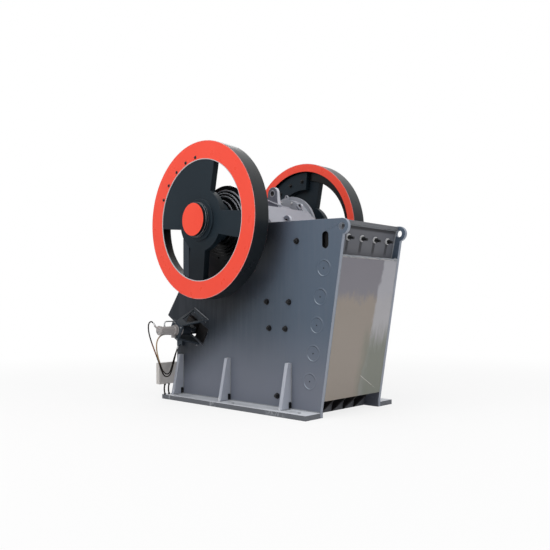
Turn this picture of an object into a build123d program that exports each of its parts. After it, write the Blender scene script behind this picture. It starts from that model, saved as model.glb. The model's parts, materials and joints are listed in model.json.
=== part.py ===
from build123d import *
import math
import os

# Jaw crusher, single toggle, with two flywheels. Millimetres, +Z up, floor at z = 0.
# +X points out of the front wall, Y runs along the eccentric shaft, y = 0 is the middle plane.
# Lengths in X are first given from the front foot of the side plates, then moved so that
# the whole machine is centred over the origin.

# Frame
FRAME_WIDTH = 1050.0        # over the side plates
SIDE_PLATE = 40.0
BASE_LENGTH = 2300.0        # front foot to the rear end of the base
FLANGE_WIDTH = 229.0
FLANGE_THICKNESS = 53.0
FRONT_LEAN = 9.1            # degrees from upright, front edge of the side plates
FOOT_RISE = 75.0            # upright part of the front edge above the floor
TOP_FALL = 2.0              # degrees, the top edge rises towards the rear
REAR_CORNER_OVERHANG = 183.0    # rearmost corner of the side plate, behind the base
REAR_CORNER_HEIGHT = 1003.0
REAR_CORNER_DROP = 113.0    # corner down to the upright rear edge
REAR_SHOULDER_BACK = 416.0  # top of the sloping rear edge, behind the shaft's axis
REAR_SHOULDER_DROP = 135.0  # the same point under the shaft's axis

# Lifting lugs at the top front corners
LUG_FORWARD = 267.0
LUG_HEIGHT = 1909.0
LUG_RADIUS = 80.0
LUG_HOLE_RADIUS = 37.0
SLOT_WIDTH = 80.0           # upright slot for the side clamp of the fixed jaw plate
SLOT_HEIGHT = 170.0
SLOT_FORWARD = 61.0
SLOT_DROP = 120.0           # middle of the slot under the lug's hole

# Stiffening ribs between side plate and base flange
RIB_THICKNESS = 44.0
RIB_HEIGHT = 479.0          # above the flange
RIB_TOP_DEPTH = 52.0
RIB_FOOT_MARGIN = 76.0      # flange left free outside a rib's foot
RIB_CORNER_CUT_WIDTH = 38.0
RIB_CORNER_CUT_HEIGHT = 68.0
FRONT_RIB_BACK = 416.0      # middle of the rib behind the front foot
MIDDLE_RIB_AHEAD = 950.0    # of the rear end of the base
REAR_RIB_AHEAD = 106.0

# Anchor holes in the base flanges
ANCHOR_RADIUS = 21.0
ANCHOR_END_MARGIN = 170.0
ANCHOR_FROM_PLATE = 130.0

# Front wall: leaning inner plate, cover plate in front of it, ribs between them
WALL_LEAN = 12.5
WALL_SET_BACK = 197.0       # inner plate's front face from the front foot, at the floor
WALL_THICKNESS = 40.0
WALL_ABOVE_LUG = 35.0       # top of the inner plate over the lug's hole
COVER_THICKNESS = 16.0
COVER_BOTTOM = 165.0
RECESS_HEIGHT = 332.0       # open part of the front wall above the cover
WALL_RIB_THICKNESS = 25.0
WALL_RIB_COUNT = 4
TOP_BAR_THICKNESS = 40.0
TOP_BAR_OVERHANG = 24.0
CLAMP_BOLT_COUNT = 4
CLAMP_BOLT_PITCH = 230.0
CLAMP_BOLT_DROP = 124.0     # under the top of the inner plate
CLAMP_BOLT_RADIUS = 14.0
CLAMP_BOLT_REACH = 75.0
CLAMP_WASHER_RADIUS = 34.0
CLAMP_WASHER_THICKNESS = 12.0
CLAMP_NUT_RADIUS = 25.0
CLAMP_NUT_THICKNESS = 24.0

# Crushing chamber
JAW_PLATE = 85.0            # thickness of the jaw plates over the teeth
TOOTH_DEPTH = 30.0
TOOTH_COUNT = 12
TOOTH_TIP_SHARE = 0.3       # flat tip of a tooth as a share of the pitch
JAW_PLATE_BOTTOM = 210.0
CHEEK_THICKNESS = 42.0
CHEEK_SPLIT_HEIGHT = 1025.0
CHEEK_BOTTOM = 120.0
CHEEK_TOP_DROP = 19.0       # under the top of the inner plate
CHEEK_JOINT = 6.0
CHEEK_REAR_TOP = 640.0
CHEEK_REAR_BOTTOM = 860.0
GAP_AT_DISCHARGE = 100.0    # between the jaw plates, open side
SWING_LEAN = 6.0            # degrees, the swing jaw plate leans back
SWING_PLATE_DROP = 44.0     # under the top of the inner plate
SIDE_CLEARANCE = 16.0       # swing jaw to cheek plates
SEAT_GAP = 0.3              # pieces that lie on each other
CUT = 1.0                   # how far a cutting body runs past the face it cuts

# Shaft and bearings
SHAFT_AHEAD = 916.0         # of the rear end of the base
SHAFT_HEIGHT = 2065.0
ECCENTRICITY = 15.0
ECCENTRIC_ANGLE = -54.0     # degrees, direction of the throw at rest
RUNNING_CLEARANCE = 0.05
JOURNAL_RADIUS = 140.0
ECCENTRIC_STEP = 35.0       # eccentric over the journals
WHEEL_SEAT_STEP = 20.0      # journals over the wheel seats
BARREL_WALL = 125.0
BARREL_CAP_STEP = 15.0
BARREL_CAP_THICKNESS = 24.0
BARREL_CAP_GAP = 26.0       # to the bearing housing
BEARING_SECTION = 235.0     # housing outside the journal
HOUSING_INSIDE = 50.0       # housing inside the side plate
HOUSING_FLANGE_STEP = 48.0
HOUSING_FLANGE_THICKNESS = 40.0
SEAL_STEP = 38.0            # first seal rib under the housing flange
SEAL_TAPER = 35.0           # last seal rib under the first
SEAL_LENGTH = 85.0
SEAL_RIB = 12.0
SEAL_RIB_COUNT = 4
EYE_RADIUS = 32.0
EYE_WIRE = 8.0
EYE_FOOT_RADIUS = 13.0

# Flywheels
WHEEL_RADIUS = 866.0
WHEEL_FROM_SEAL = 84.0      # inboard face of the rim outside the seal cover
RIM_WIDTH = 197.0
RIM_DEPTH = 204.0           # outboard part of the rim
RIM_STEP_DEPTH = 100.0      # inboard part of the rim
WEB_THICKNESS = 42.0
WEB_RECESS = 60.0           # outboard face of the web behind the rim's face
HUB_DISC_STEP = 115.0       # disc around the hub
SPOKE_HALF_AT_HUB = 108.0
SPOKE_HALF_AT_RIM = 152.0
SPOKE_COUNT = 4
SPOKE_TURN = -8.0           # degrees, turn of the spokes at rest
HUB_FROM_SEAL = 22.0
HUB_NECK_WALL = 68.0
HUB_COLLAR_STEP = 42.0
HUB_COLLAR = 26.0
HUB_STANDS_OUT = 69.0       # past the rim's outboard face
CAP_STEP = 10.0             # hub neck over the cap
CAP_THICKNESS = 29.0
WEIGHT_DEPTH = 220.0
WEIGHT_GAP = 6.0
WEIGHT_START_ANGLE = 84.0   # degrees, end of the counterweight over the upper spoke
WEIGHT_END_ANGLE = 168.0
WEIGHT_THICKNESS = 52.0

# Swing jaw
SHOULDER_BACK = 338.0       # front top edge of the head, behind the top of the jaw plate's back
SHOULDER_UP = 190.0
SHOULDER_FALL = 22.0        # the head's top falls towards the barrel
JAW_FRONT_SLAB = 110.0
JAW_HEAD_DROP = 66.0
JAW_RIB_THICKNESS = 50.0
JAW_RIB_COUNT = 5
JAW_RIB_ON_BARREL = 210.0   # where the ribs' rear edge leaves the barrel, from its axis
JAW_RIB_TOP = 270.0         # ribs over the barrel's axis
JAW_FOOT_REACH = 510.0      # toggle seat behind the back of the jaw plate
JAW_FOOT_DEPTH = 150.0
JAW_EAR_THICKNESS = 50.0
JAW_EAR_RADIUS = 62.0
JAW_EAR_HOLE = 30.0
JAW_EAR_FORWARD = 213.0
JAW_EAR_UP = 383.0
JAW_EAR_SIDE = 30.0

# Toggle line and adjusting unit, along the toggle line from the centre of the side openings
TOGGLE_SLOPE = 29.0         # degrees, the line falls towards the front
OPENING_AHEAD = 362.0       # of the rear end of the base
OPENING_HEIGHT = 842.0
OPENING_LENGTH = 400.0
OPENING_WIDTH = 224.0
WEDGE_PLAY = 17.0           # wedge to the edge of the opening, each side
WEDGE_PACK = 140.0
WEDGE_TAPER = 90.0          # what a wedge loses in thickness from its thick end to its thin end
WEDGE_MARGIN = 40.0         # rear edge of the opening to the wedges
WEDGE_OUT = 30.0            # how far a wedge's thick end stands out of the side plate
WEDGE_GAP = 0.5
BEAM_WIDTH = 250.0
TOGGLE_BLOCK_LENGTH = 210.0
TOGGLE_BLOCK_WIDTH = 210.0
TOGGLE_BLOCK_SIDE = 6.0
RAIL_DEPTH = 60.0
RAIL_HEIGHT = 30.0
TOGGLE_THICKNESS = 80.0
TOGGLE_INSET = 17.0         # toggle plate narrower than the jaw, each side
TOGGLE_SEAT_DEPTH = 50.0
OPEN_PIVOT_CLEARANCE = 6.0  # left at the jaw end of the toggle plate over the whole stroke

# Adjusting brackets and cylinders
BRACKET_PLATE = 20.0
BRACKET_ROOT = 290.0
BRACKET_TIP = 190.0
BRACKET_NECK = 112.0        # width of the bracket plates at the end plate
BRACKET_RISE = 214.0        # upper bracket plate over the toggle line, at the side plate
BRACKET_REACH = 306.0       # outboard face of the end plate from the side plate
BRACKET_HOLE_BORDER = 34.0  # round the hole in the upper plate
CYLINDER_RADIUS = 46.0
CYLINDER_STANDS_OUT = 235.0
CYLINDER_BODY_STEP = 16.0
CYLINDER_BODY_START = 120.0     # from the side plate
CYLINDER_COLLAR_STEP = 8.0
CYLINDER_COLLAR = 22.0
ROD_END_THICKNESS = 24.0    # plate that joins the cylinder's rod to a wedge
ROD_END_LENGTH = 150.0
ROD_END_FORWARD = 30.0
ROD_END_WIDTH = 80.0

# Hydraulic fittings on the left side, mirrored to the right
HOSE_RADIUS = 7.5
FITTING_RADIUS = 10.0
FITTING_RUN = 18.0          # straight part of a fitting in line with its hose
ELBOW_RADIUS = 11.5         # ball at the elbow of a fitting
PIPE_BEND = 28.0
PORT_SIZE = 54.0
PORT_LENGTH = 22.0
PORT_BACK = 24.0            # port behind and under the cylinder's axis
PORT_DROP = 64.0
MANIFOLD_LENGTH = 96.0
MANIFOLD_DEPTH = 42.0
MANIFOLD_HEIGHT = 56.0

# Tension rod and spring, under the toggle
ROD_BELOW = 225.0
ROD_RADIUS = 22.0
ROD_CLEARANCE = 4.0
ROD_TAIL = 55.0             # rod behind the spring's rear end
SPRING_LENGTH = 180.0
SPRING_RADIUS = 62.0
SPRING_BORE_RADIUS = 40.0
SPRING_PLATE = 20.0
SPRING_PLATE_STEP = 4.0
ROD_NUT_RADIUS = 37.0
ROD_NUT_LENGTH = 26.0
ROD_LUG_THICKNESS = 40.0
ROD_LUG_FORWARD = 20.0      # lug's front face behind the beam's front
ROD_LUG_EDGE = 12.0
ROD_EYE_RADIUS = 50.0
ROD_EYE_THICKNESS = 44.0
ROD_EYE_AHEAD = 10.0        # of the toggle seat

# Connection box on the rear rib
BOX_DEPTH = 60.0
BOX_WIDTH = 270.0
BOX_HEIGHT = 255.0
BOX_BOTTOM = 185.0
BOX_FROM_PLATE = 60.0
CONDUIT_RADIUS = 9.0
CONDUIT_INSET = 103.0       # from the box's side

# Rear wall
REAR_WALL = 40.0

# Hose routes on the left side: (x, y, z) in the machine's frame, chosen to follow the real hoses
HOSE_A = [
    (-920, -1092, 906), (-940, -1094, 932), (-972, -1096, 944), (-1006, -1096, 936),
    (-1030, -1094, 908), (-1042, -1088, 862), (-1044, -1076, 796), (-1034, -1052, 706),
    (-1020, -1018, 606), (-1016, -968, 484), (-1024, -924, 386), (-1031, -896, 332),
    (-1031, -868, 298), (-1026, -832, 284), (-1022, -798, 300), (-1028, -770, 336),
    (-1046, -734, 400), (-1072, -690, 474), (-1102, -646, 544), (-1132, -606, 590),
    (-1144, -582, 618),
]
HOSE_B = [
    (-894, -868, 793), (-898, -902, 794), (-906, -944, 796), (-924, -984, 788),
    (-946, -1006, 764), (-968, -1018, 724), (-984, -1018, 668), (-994, -1004, 588),
    (-998, -974, 496), (-1004, -938, 412), (-1009, -908, 362), (-1008, -880, 332),
    (-1004, -850, 318), (-1004, -820, 328), (-1012, -792, 358), (-1032, -756, 412),
    (-1060, -710, 480), (-1088, -664, 542), (-1110, -622, 586), (-1116, -600, 618),
]
ARC_SHARE = 0.45            # of the shorter run that an arc takes

HALF = FRAME_WIDTH / 2
INNER_HALF = HALF - SIDE_PLATE
CHEEK_FACE = INNER_HALF - CHEEK_THICKNESS
JAW_HALF = CHEEK_FACE - SIDE_CLEARANCE
TOGGLE_HALF = JAW_HALF - TOGGLE_INSET
HOUSING_INNER = INNER_HALF - HOUSING_INSIDE
BARREL_HALF = HOUSING_INNER - BARREL_CAP_GAP - BARREL_CAP_THICKNESS
FLANGE_OUTER = HALF + HOUSING_FLANGE_THICKNESS
SEAL_OUTER = FLANGE_OUTER + SEAL_LENGTH
WHEEL_INNER = SEAL_OUTER + WHEEL_FROM_SEAL
WHEEL_OUTER = WHEEL_INNER + RIM_WIDTH
WEB_OUTER = WHEEL_OUTER - WEB_RECESS
WEB_INNER = WEB_OUTER - WEB_THICKNESS
WHEEL_STEP = WEB_INNER
HUB_INNER = SEAL_OUTER + HUB_FROM_SEAL
HUB_OUTER = WHEEL_OUTER + HUB_STANDS_OUT
CAP_OUTER = HUB_OUTER + CAP_THICKNESS
BRACKET_END = HALF + BRACKET_REACH
CYLINDER_END = BRACKET_END + CYLINDER_STANDS_OUT

ECCENTRIC_RADIUS = JOURNAL_RADIUS + ECCENTRIC_STEP
WHEEL_SEAT_RADIUS = JOURNAL_RADIUS - WHEEL_SEAT_STEP
BARREL_RADIUS = ECCENTRIC_RADIUS + BARREL_WALL
HOUSING_RADIUS = JOURNAL_RADIUS + BEARING_SECTION
HOUSING_FLANGE_RADIUS = HOUSING_RADIUS + HOUSING_FLANGE_STEP
SEAL_RADIUS = HOUSING_FLANGE_RADIUS - SEAL_STEP
RIM_OUTER_BORE = WHEEL_RADIUS - RIM_DEPTH
RIM_INNER_BORE = WHEEL_RADIUS - RIM_STEP_DEPTH
HUB_NECK_RADIUS = WHEEL_SEAT_RADIUS + HUB_NECK_WALL
HUB_RADIUS = HUB_NECK_RADIUS + HUB_COLLAR_STEP
CAP_RADIUS = HUB_NECK_RADIUS - CAP_STEP
CYLINDER_BODY_RADIUS = CYLINDER_RADIUS + CYLINDER_BODY_STEP

REAR_CORNER_BACK = BASE_LENGTH + REAR_CORNER_OVERHANG
SHAFT_BACK = BASE_LENGTH - SHAFT_AHEAD
OPENING_BACK = BASE_LENGTH - OPENING_AHEAD
RIB_BACK = (FRONT_RIB_BACK, BASE_LENGTH - MIDDLE_RIB_AHEAD, BASE_LENGTH - REAR_RIB_AHEAD)
REAR_SHOULDER_HEIGHT = SHAFT_HEIGHT - REAR_SHOULDER_DROP
REAR_EDGE_RISE = REAR_SHOULDER_HEIGHT - REAR_CORNER_HEIGHT
REAR_EDGE_RUN = REAR_CORNER_BACK - SHAFT_BACK - REAR_SHOULDER_BACK
REAR_EDGE_SLOPE = math.degrees(math.atan2(REAR_EDGE_RISE, REAR_EDGE_RUN))
WALL_TOP = LUG_HEIGHT + WALL_ABOVE_LUG
COVER_TOP = WALL_TOP - RECESS_HEIGHT
CHEEK_TOP = WALL_TOP - CHEEK_TOP_DROP
SWING_PLATE_TOP = WALL_TOP - SWING_PLATE_DROP
FOOT_X = (REAR_CORNER_BACK - LUG_FORWARD - LUG_RADIUS) / 2
LUG_X = FOOT_X + LUG_FORWARD
SHAFT_X = FOOT_X - SHAFT_BACK
ECC_X = SHAFT_X + ECCENTRICITY * math.cos(math.radians(ECCENTRIC_ANGLE))
ECC_Z = SHAFT_HEIGHT + ECCENTRICITY * math.sin(math.radians(ECCENTRIC_ANGLE))
OPEN_PIVOT = 2 * ECCENTRICITY + OPEN_PIVOT_CLEARANCE
WEDGE_REAR = WEDGE_MARGIN - OPENING_LENGTH / 2
WEDGE_FRONT = WEDGE_REAR + WEDGE_PACK + WEDGE_GAP
BLOCK_REAR = WEDGE_FRONT + SEAT_GAP
BLOCK_FRONT = BLOCK_REAR + TOGGLE_BLOCK_LENGTH
ROD_LUG_REAR = WEDGE_REAR - ROD_LUG_FORWARD - ROD_LUG_THICKNESS
SPRING_REAR = ROD_LUG_REAR - SPRING_LENGTH


def front_edge(z):
    """Front edge of the side plates at height z."""
    return FOOT_X + max(0.0, z - FOOT_RISE) * math.tan(math.radians(FRONT_LEAN))


def wall_face(z):
    """Front face of the leaning inner wall at height z."""
    return FOOT_X - WALL_SET_BACK + z * math.tan(math.radians(WALL_LEAN))


def along_wall(set_back, z):
    """A point behind the wall's front face by set_back, measured square to it."""
    return wall_face(z) - set_back / math.cos(math.radians(WALL_LEAN)), z


def swing_face(z):
    """Face of the swing jaw plate at height z."""
    bottom = along_wall(WALL_THICKNESS + JAW_PLATE, JAW_PLATE_BOTTOM)[0] - GAP_AT_DISCHARGE
    return bottom - (z - JAW_PLATE_BOTTOM) * math.tan(math.radians(SWING_LEAN))


def jaw_back(z):
    """Back of the swing jaw plate at height z."""
    return swing_face(z) - JAW_PLATE / math.cos(math.radians(SWING_LEAN))


def line_point(s, n):
    """A point s along the toggle line towards the front, and n above it."""
    a = math.radians(TOGGLE_SLOPE)
    x = FOOT_X - OPENING_BACK + s * math.cos(a) + n * math.sin(a)
    return x, OPENING_HEIGHT - s * math.sin(a) + n * math.cos(a)


def jaw_seat():
    """How far along the toggle line the jaw's toggle seat lies, behind the jaw plate's back."""
    a = math.radians(TOGGLE_SLOPE)
    lean = math.tan(math.radians(SWING_LEAN))
    x0, z0 = line_point(0, 0)
    return (jaw_back(z0) - JAW_FOOT_REACH - x0) / (math.cos(a) - math.sin(a) * lean)


JAW_SEAT_LINE = jaw_seat()


def rear_edge(z):
    """Rear edge of the side plates at height z, above the rear corner."""
    return FOOT_X - REAR_CORNER_BACK + (z - REAR_CORNER_HEIGHT) / math.tan(math.radians(REAR_EDGE_SLOPE))


def prism(points, y0, y1):
    """A flat outline in X and Z, between two planes across the machine."""
    outline = make_face(Polyline(*[(x, y0, z) for x, z in points], close=True))
    return extrude(outline, amount=y1 - y0, dir=(0, 1, 0))


def barrel(radius, y0, y1, x=SHAFT_X, z=SHAFT_HEIGHT):
    """A cylinder along Y between two planes."""
    return Pos(x, (y0 + y1) / 2, z) * Rot(90, 0, 0) * Cylinder(radius, abs(y1 - y0))


def turned(profile):
    """A body turned about the shaft's axis, from points of radius and y."""
    face = make_face(Polyline(*[(r, y, 0) for r, y in profile], close=True))
    return Pos(SHAFT_X, 0, SHAFT_HEIGHT) * revolve(face, axis=Axis.Y)


def polar(radius, degrees):
    """A point about the shaft's axis, angle from +X towards +Z."""
    a = math.radians(degrees)
    return SHAFT_X + radius * math.cos(a), SHAFT_HEIGHT + radius * math.sin(a)


def mirrored(shape):
    """The same piece on the other side of the middle plane."""
    return mirror(shape, about=Plane.XZ)


def line_box(s0, s1, n0, n1, y0, y1):
    """A block square to the toggle line."""
    corners = [line_point(s0, n0), line_point(s1, n0), line_point(s1, n1), line_point(s0, n1)]
    return prism(corners, y0, y1)


def rod_between(radius, start, end):
    """A round bar from one point to another."""
    axis = Vector(*end) - Vector(*start)
    middle = Vector(*start) + axis * 0.5
    return Plane(origin=middle, z_dir=axis) * Cylinder(radius, axis.length)


def line_rod(radius, s0, s1, n, y=0.0):
    """A round bar along the toggle line."""
    x0, z0 = line_point(s0, n)
    x1, z1 = line_point(s1, n)
    return rod_between(radius, (x0, y, z0), (x1, y, z1))


# Side plates
def side_plate():
    """Left side plate with lifting lug, bearing seat, slot and side opening."""
    top_rear_x = rear_edge(REAR_SHOULDER_HEIGHT)
    rise = math.tan(math.radians(TOP_FALL))
    lug_top = LUG_HEIGHT + LUG_RADIUS
    outline = [
        (FOOT_X, 0),
        (FOOT_X, FOOT_RISE),
        (front_edge(LUG_HEIGHT), LUG_HEIGHT),
        (LUG_X, lug_top),
        (top_rear_x, lug_top + (LUG_X - top_rear_x) * rise),
        (top_rear_x, REAR_SHOULDER_HEIGHT),
        (FOOT_X - REAR_CORNER_BACK, REAR_CORNER_HEIGHT),
        (FOOT_X - BASE_LENGTH, REAR_CORNER_HEIGHT - REAR_CORNER_DROP),
        (FOOT_X - BASE_LENGTH, 0),
    ]
    outside = -HALF - CUT
    inside = -INNER_HALF + CUT
    plate = prism(outline, -HALF, -INNER_HALF)
    plate += barrel(LUG_RADIUS, -HALF, -INNER_HALF, LUG_X, LUG_HEIGHT)
    plate -= barrel(LUG_HOLE_RADIUS, outside, inside, LUG_X, LUG_HEIGHT)
    slot_x = FOOT_X + SLOT_FORWARD
    slot_z = LUG_HEIGHT - SLOT_DROP
    reach = (SLOT_HEIGHT - SLOT_WIDTH) / 2
    for end in (-reach, reach):
        plate -= barrel(SLOT_WIDTH / 2, outside, inside, slot_x, slot_z + end)
    plate -= Pos(slot_x, (outside + inside) / 2, slot_z) * Box(SLOT_WIDTH, inside - outside, 2 * reach)
    plate -= barrel(HOUSING_RADIUS, outside, inside)
    plate -= Pos(SHAFT_X, (outside + inside) / 2, SHAFT_HEIGHT + HOUSING_RADIUS / 2) * Box(
        2 * HOUSING_RADIUS, inside - outside, HOUSING_RADIUS)
    half = OPENING_LENGTH / 2
    plate -= line_box(-half, half, -OPENING_WIDTH / 2, OPENING_WIDTH / 2, outside, inside)
    return plate


# Base flanges and ribs
def base_flange():
    """Left base flange with its anchor holes."""
    flange = Pos(FOOT_X - BASE_LENGTH / 2, -HALF - FLANGE_WIDTH / 2, FLANGE_THICKNESS / 2) * Box(
        BASE_LENGTH, FLANGE_WIDTH, FLANGE_THICKNESS)
    for back in (ANCHOR_END_MARGIN, BASE_LENGTH / 2, BASE_LENGTH - ANCHOR_END_MARGIN):
        flange -= Pos(FOOT_X - back, -HALF - ANCHOR_FROM_PLATE, FLANGE_THICKNESS / 2) * Cylinder(
            ANCHOR_RADIUS, FLANGE_THICKNESS + 2 * CUT)
    return flange


def side_ribs():
    """Tapered ribs of the left side, one solid each."""
    foot = FLANGE_WIDTH - RIB_FOOT_MARGIN
    top = FLANGE_THICKNESS + RIB_HEIGHT
    outline = [
        (-HALF, FLANGE_THICKNESS + RIB_CORNER_CUT_HEIGHT),
        (-HALF, top),
        (-HALF - RIB_TOP_DEPTH, top),
        (-HALF - foot, FLANGE_THICKNESS),
        (-HALF - RIB_CORNER_CUT_WIDTH, FLANGE_THICKNESS),
    ]
    ribs = []
    for back in RIB_BACK:
        x = FOOT_X - back - RIB_THICKNESS / 2
        face = make_face(Polyline(*[(x, y, z) for y, z in outline], close=True))
        ribs.append(extrude(face, amount=RIB_THICKNESS, dir=(1, 0, 0)))
    return ribs


# Front wall
def inner_wall():
    """Leaning inner plate that carries the fixed jaw plate."""
    outline = [
        along_wall(0, 0),
        along_wall(0, WALL_TOP),
        along_wall(WALL_THICKNESS, WALL_TOP),
        along_wall(WALL_THICKNESS, 0),
    ]
    return prism(outline, -INNER_HALF, INNER_HALF)


def cover_back(z):
    """Rear face of the cover plate at height z."""
    return front_edge(z) - COVER_THICKNESS / math.cos(math.radians(FRONT_LEAN))


def front_cover():
    """Smooth plate that closes the front wall, flush with the side plates' front edge."""
    outline = [
        (front_edge(COVER_BOTTOM), COVER_BOTTOM),
        (front_edge(COVER_TOP), COVER_TOP),
        (cover_back(COVER_TOP), COVER_TOP),
        (cover_back(COVER_BOTTOM), COVER_BOTTOM),
    ]
    return prism(outline, -INNER_HALF, INNER_HALF)


def front_ledge():
    """Strip that closes the top of the front wall's box."""
    top = COVER_TOP + COVER_THICKNESS
    outline = [
        (front_edge(COVER_TOP), COVER_TOP),
        (front_edge(COVER_TOP), top),
        along_wall(0, top),
        along_wall(0, COVER_TOP),
    ]
    return prism(outline, -INNER_HALF, INNER_HALF)


def front_wall_ribs():
    """Upright ribs between the inner wall and the cover."""
    outline = [
        along_wall(0, COVER_BOTTOM),
        along_wall(0, COVER_TOP),
        (cover_back(COVER_TOP), COVER_TOP),
        (cover_back(COVER_BOTTOM), COVER_BOTTOM),
        along_wall(0, 0),
    ]
    pitch = 2 * INNER_HALF / (WALL_RIB_COUNT + 1)
    ribs = []
    for i in range(WALL_RIB_COUNT):
        y = -INNER_HALF + pitch * (i + 1)
        ribs.append(prism(outline, y - WALL_RIB_THICKNESS / 2, y + WALL_RIB_THICKNESS / 2))
    return ribs


def front_top_bar():
    """Bar across the top of the front wall, from lug to lug."""
    front = wall_face(WALL_TOP) + TOP_BAR_OVERHANG
    rear = along_wall(WALL_THICKNESS + JAW_PLATE, WALL_TOP)[0]
    outline = [
        (front, WALL_TOP),
        (front, WALL_TOP + TOP_BAR_THICKNESS),
        (rear, WALL_TOP + TOP_BAR_THICKNESS),
        (rear, WALL_TOP),
    ]
    return prism(outline, -INNER_HALF, INNER_HALF)


def clamp_bolts():
    """Studs, washers and nuts that hold the top of the fixed jaw plate."""
    lean = math.radians(WALL_LEAN)
    z = WALL_TOP - CLAMP_BOLT_DROP
    bolts = []
    for i in range(CLAMP_BOLT_COUNT):
        y = (i - (CLAMP_BOLT_COUNT - 1) / 2) * CLAMP_BOLT_PITCH
        seat = Plane(origin=(wall_face(z), y, z), z_dir=(math.cos(lean), 0, -math.sin(lean)))
        bolt = seat * Pos(0, 0, CLAMP_BOLT_REACH / 2) * Cylinder(CLAMP_BOLT_RADIUS, CLAMP_BOLT_REACH)
        bolt += seat * Pos(0, 0, CLAMP_WASHER_THICKNESS / 2) * Cylinder(
            CLAMP_WASHER_RADIUS, CLAMP_WASHER_THICKNESS)
        nut = extrude(RegularPolygon(CLAMP_NUT_RADIUS, 6), CLAMP_NUT_THICKNESS)
        bolt += seat * Pos(0, 0, CLAMP_WASHER_THICKNESS) * nut
        bolts.append(bolt)
    return bolts


# Jaw plates and cheek plates
def toothed_plate(half_width, length):
    """A plate with teeth that run along it: back at x = 0, teeth towards -X, foot at z = 0."""
    pitch = 2 * half_width / TOOTH_COUNT
    flank = (1 - TOOTH_TIP_SHARE) / 2 * pitch
    points = [(0, half_width), (0, -half_width)]
    for i in range(TOOTH_COUNT):
        y = -half_width + i * pitch
        points.append((-JAW_PLATE + TOOTH_DEPTH, y))
        points.append((-JAW_PLATE, y + flank))
        points.append((-JAW_PLATE, y + pitch - flank))
    points.append((-JAW_PLATE + TOOTH_DEPTH, half_width))
    face = make_face(Polyline(*[(x, y, 0) for x, y in points], close=True))
    return extrude(face, amount=length, dir=(0, 0, 1))


def fixed_jaw_plate():
    """Toothed plate on the rear face of the inner wall."""
    lean = math.radians(WALL_LEAN)
    length = (WALL_TOP - JAW_PLATE_BOTTOM) / math.cos(lean) - JAW_PLATE * math.tan(lean)
    x, z = along_wall(WALL_THICKNESS, JAW_PLATE_BOTTOM)
    plate = toothed_plate(CHEEK_FACE - SEAT_GAP, length)
    return Pos(x, 0, z) * Rot(0, WALL_LEAN, 0) * plate


def swing_jaw_plate():
    """Toothed plate on the front of the swing jaw."""
    lean = math.radians(SWING_LEAN)
    length = (SWING_PLATE_TOP - JAW_PLATE_BOTTOM) / math.cos(lean)
    plate = mirror(toothed_plate(JAW_HALF, length), about=Plane.YZ)
    return Pos(jaw_back(JAW_PLATE_BOTTOM), 0, JAW_PLATE_BOTTOM) * Rot(0, -SWING_LEAN, 0) * plate


def cheek_rear(z):
    """Rear edge of the cheek plates at height z."""
    share = max(0.0, min(1.0, (z - CHEEK_SPLIT_HEIGHT) / (CHEEK_TOP - CHEEK_SPLIT_HEIGHT)))
    return FOOT_X - CHEEK_REAR_BOTTOM + share * (CHEEK_REAR_BOTTOM - CHEEK_REAR_TOP)


def cheek_plate(z0, z1):
    """One wear plate on the inside of the left side plate."""
    outline = [
        along_wall(WALL_THICKNESS, z0),
        along_wall(WALL_THICKNESS, z1),
        (cheek_rear(z1), z1),
        (cheek_rear(z0), z0),
    ]
    return prism(outline, -INNER_HALF, -CHEEK_FACE)


# Bearings and shaft
def bearing_housing():
    """Left main bearing housing, with its flange on the outside of the side plate."""
    bore = JOURNAL_RADIUS + RUNNING_CLEARANCE
    profile = [
        (bore, -HOUSING_INNER),
        (HOUSING_RADIUS, -HOUSING_INNER),
        (HOUSING_RADIUS, -HALF),
        (HOUSING_FLANGE_RADIUS, -HALF),
        (HOUSING_FLANGE_RADIUS, -FLANGE_OUTER),
        (bore, -FLANGE_OUTER),
    ]
    return turned(profile)


def seal_cover():
    """Left labyrinth cover: a stack of ribs outside the bearing housing."""
    bore = JOURNAL_RADIUS + RUNNING_CLEARANCE
    pitch = (SEAL_LENGTH - SEAL_RIB) / (SEAL_RIB_COUNT - 1)
    groove = SEAL_RADIUS - SEAL_TAPER - SEAL_RIB
    profile = [(bore, -FLANGE_OUTER)]
    for i in range(SEAL_RIB_COUNT):
        outer = SEAL_RADIUS - SEAL_TAPER * i / (SEAL_RIB_COUNT - 1)
        y = FLANGE_OUTER + i * pitch
        profile.append((outer, -y))
        profile.append((outer, -y - SEAL_RIB))
        if i < SEAL_RIB_COUNT - 1:
            profile.append((groove, -y - SEAL_RIB))
            profile.append((groove, -y - pitch))
    profile.append((bore, -SEAL_OUTER))
    return turned(profile)


def lifting_eye():
    """Ring bolt on top of the left bearing housing."""
    y = -(HOUSING_INNER + HALF) / 2
    top = SHAFT_HEIGHT + HOUSING_RADIUS
    centre = top + EYE_RADIUS
    eye = Pos(SHAFT_X, y, (top - EYE_WIRE + centre - EYE_RADIUS + 2 * EYE_WIRE) / 2) * Cylinder(
        EYE_FOOT_RADIUS, 3 * EYE_WIRE)
    eye += Pos(SHAFT_X, y, centre) * Rot(90, 0, 0) * Torus(EYE_RADIUS - EYE_WIRE, EYE_WIRE)
    return eye - barrel(HOUSING_RADIUS, -HALF, -HOUSING_INNER)


def eccentric_shaft():
    """Shaft with main journals, eccentric middle and seats for the wheels."""
    shaft = barrel(JOURNAL_RADIUS, -HUB_INNER, HUB_INNER)
    shaft += barrel(WHEEL_SEAT_RADIUS, -HUB_OUTER, HUB_OUTER)
    shaft += barrel(ECCENTRIC_RADIUS, -BARREL_HALF, BARREL_HALF, ECC_X, ECC_Z)
    return shaft


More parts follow.
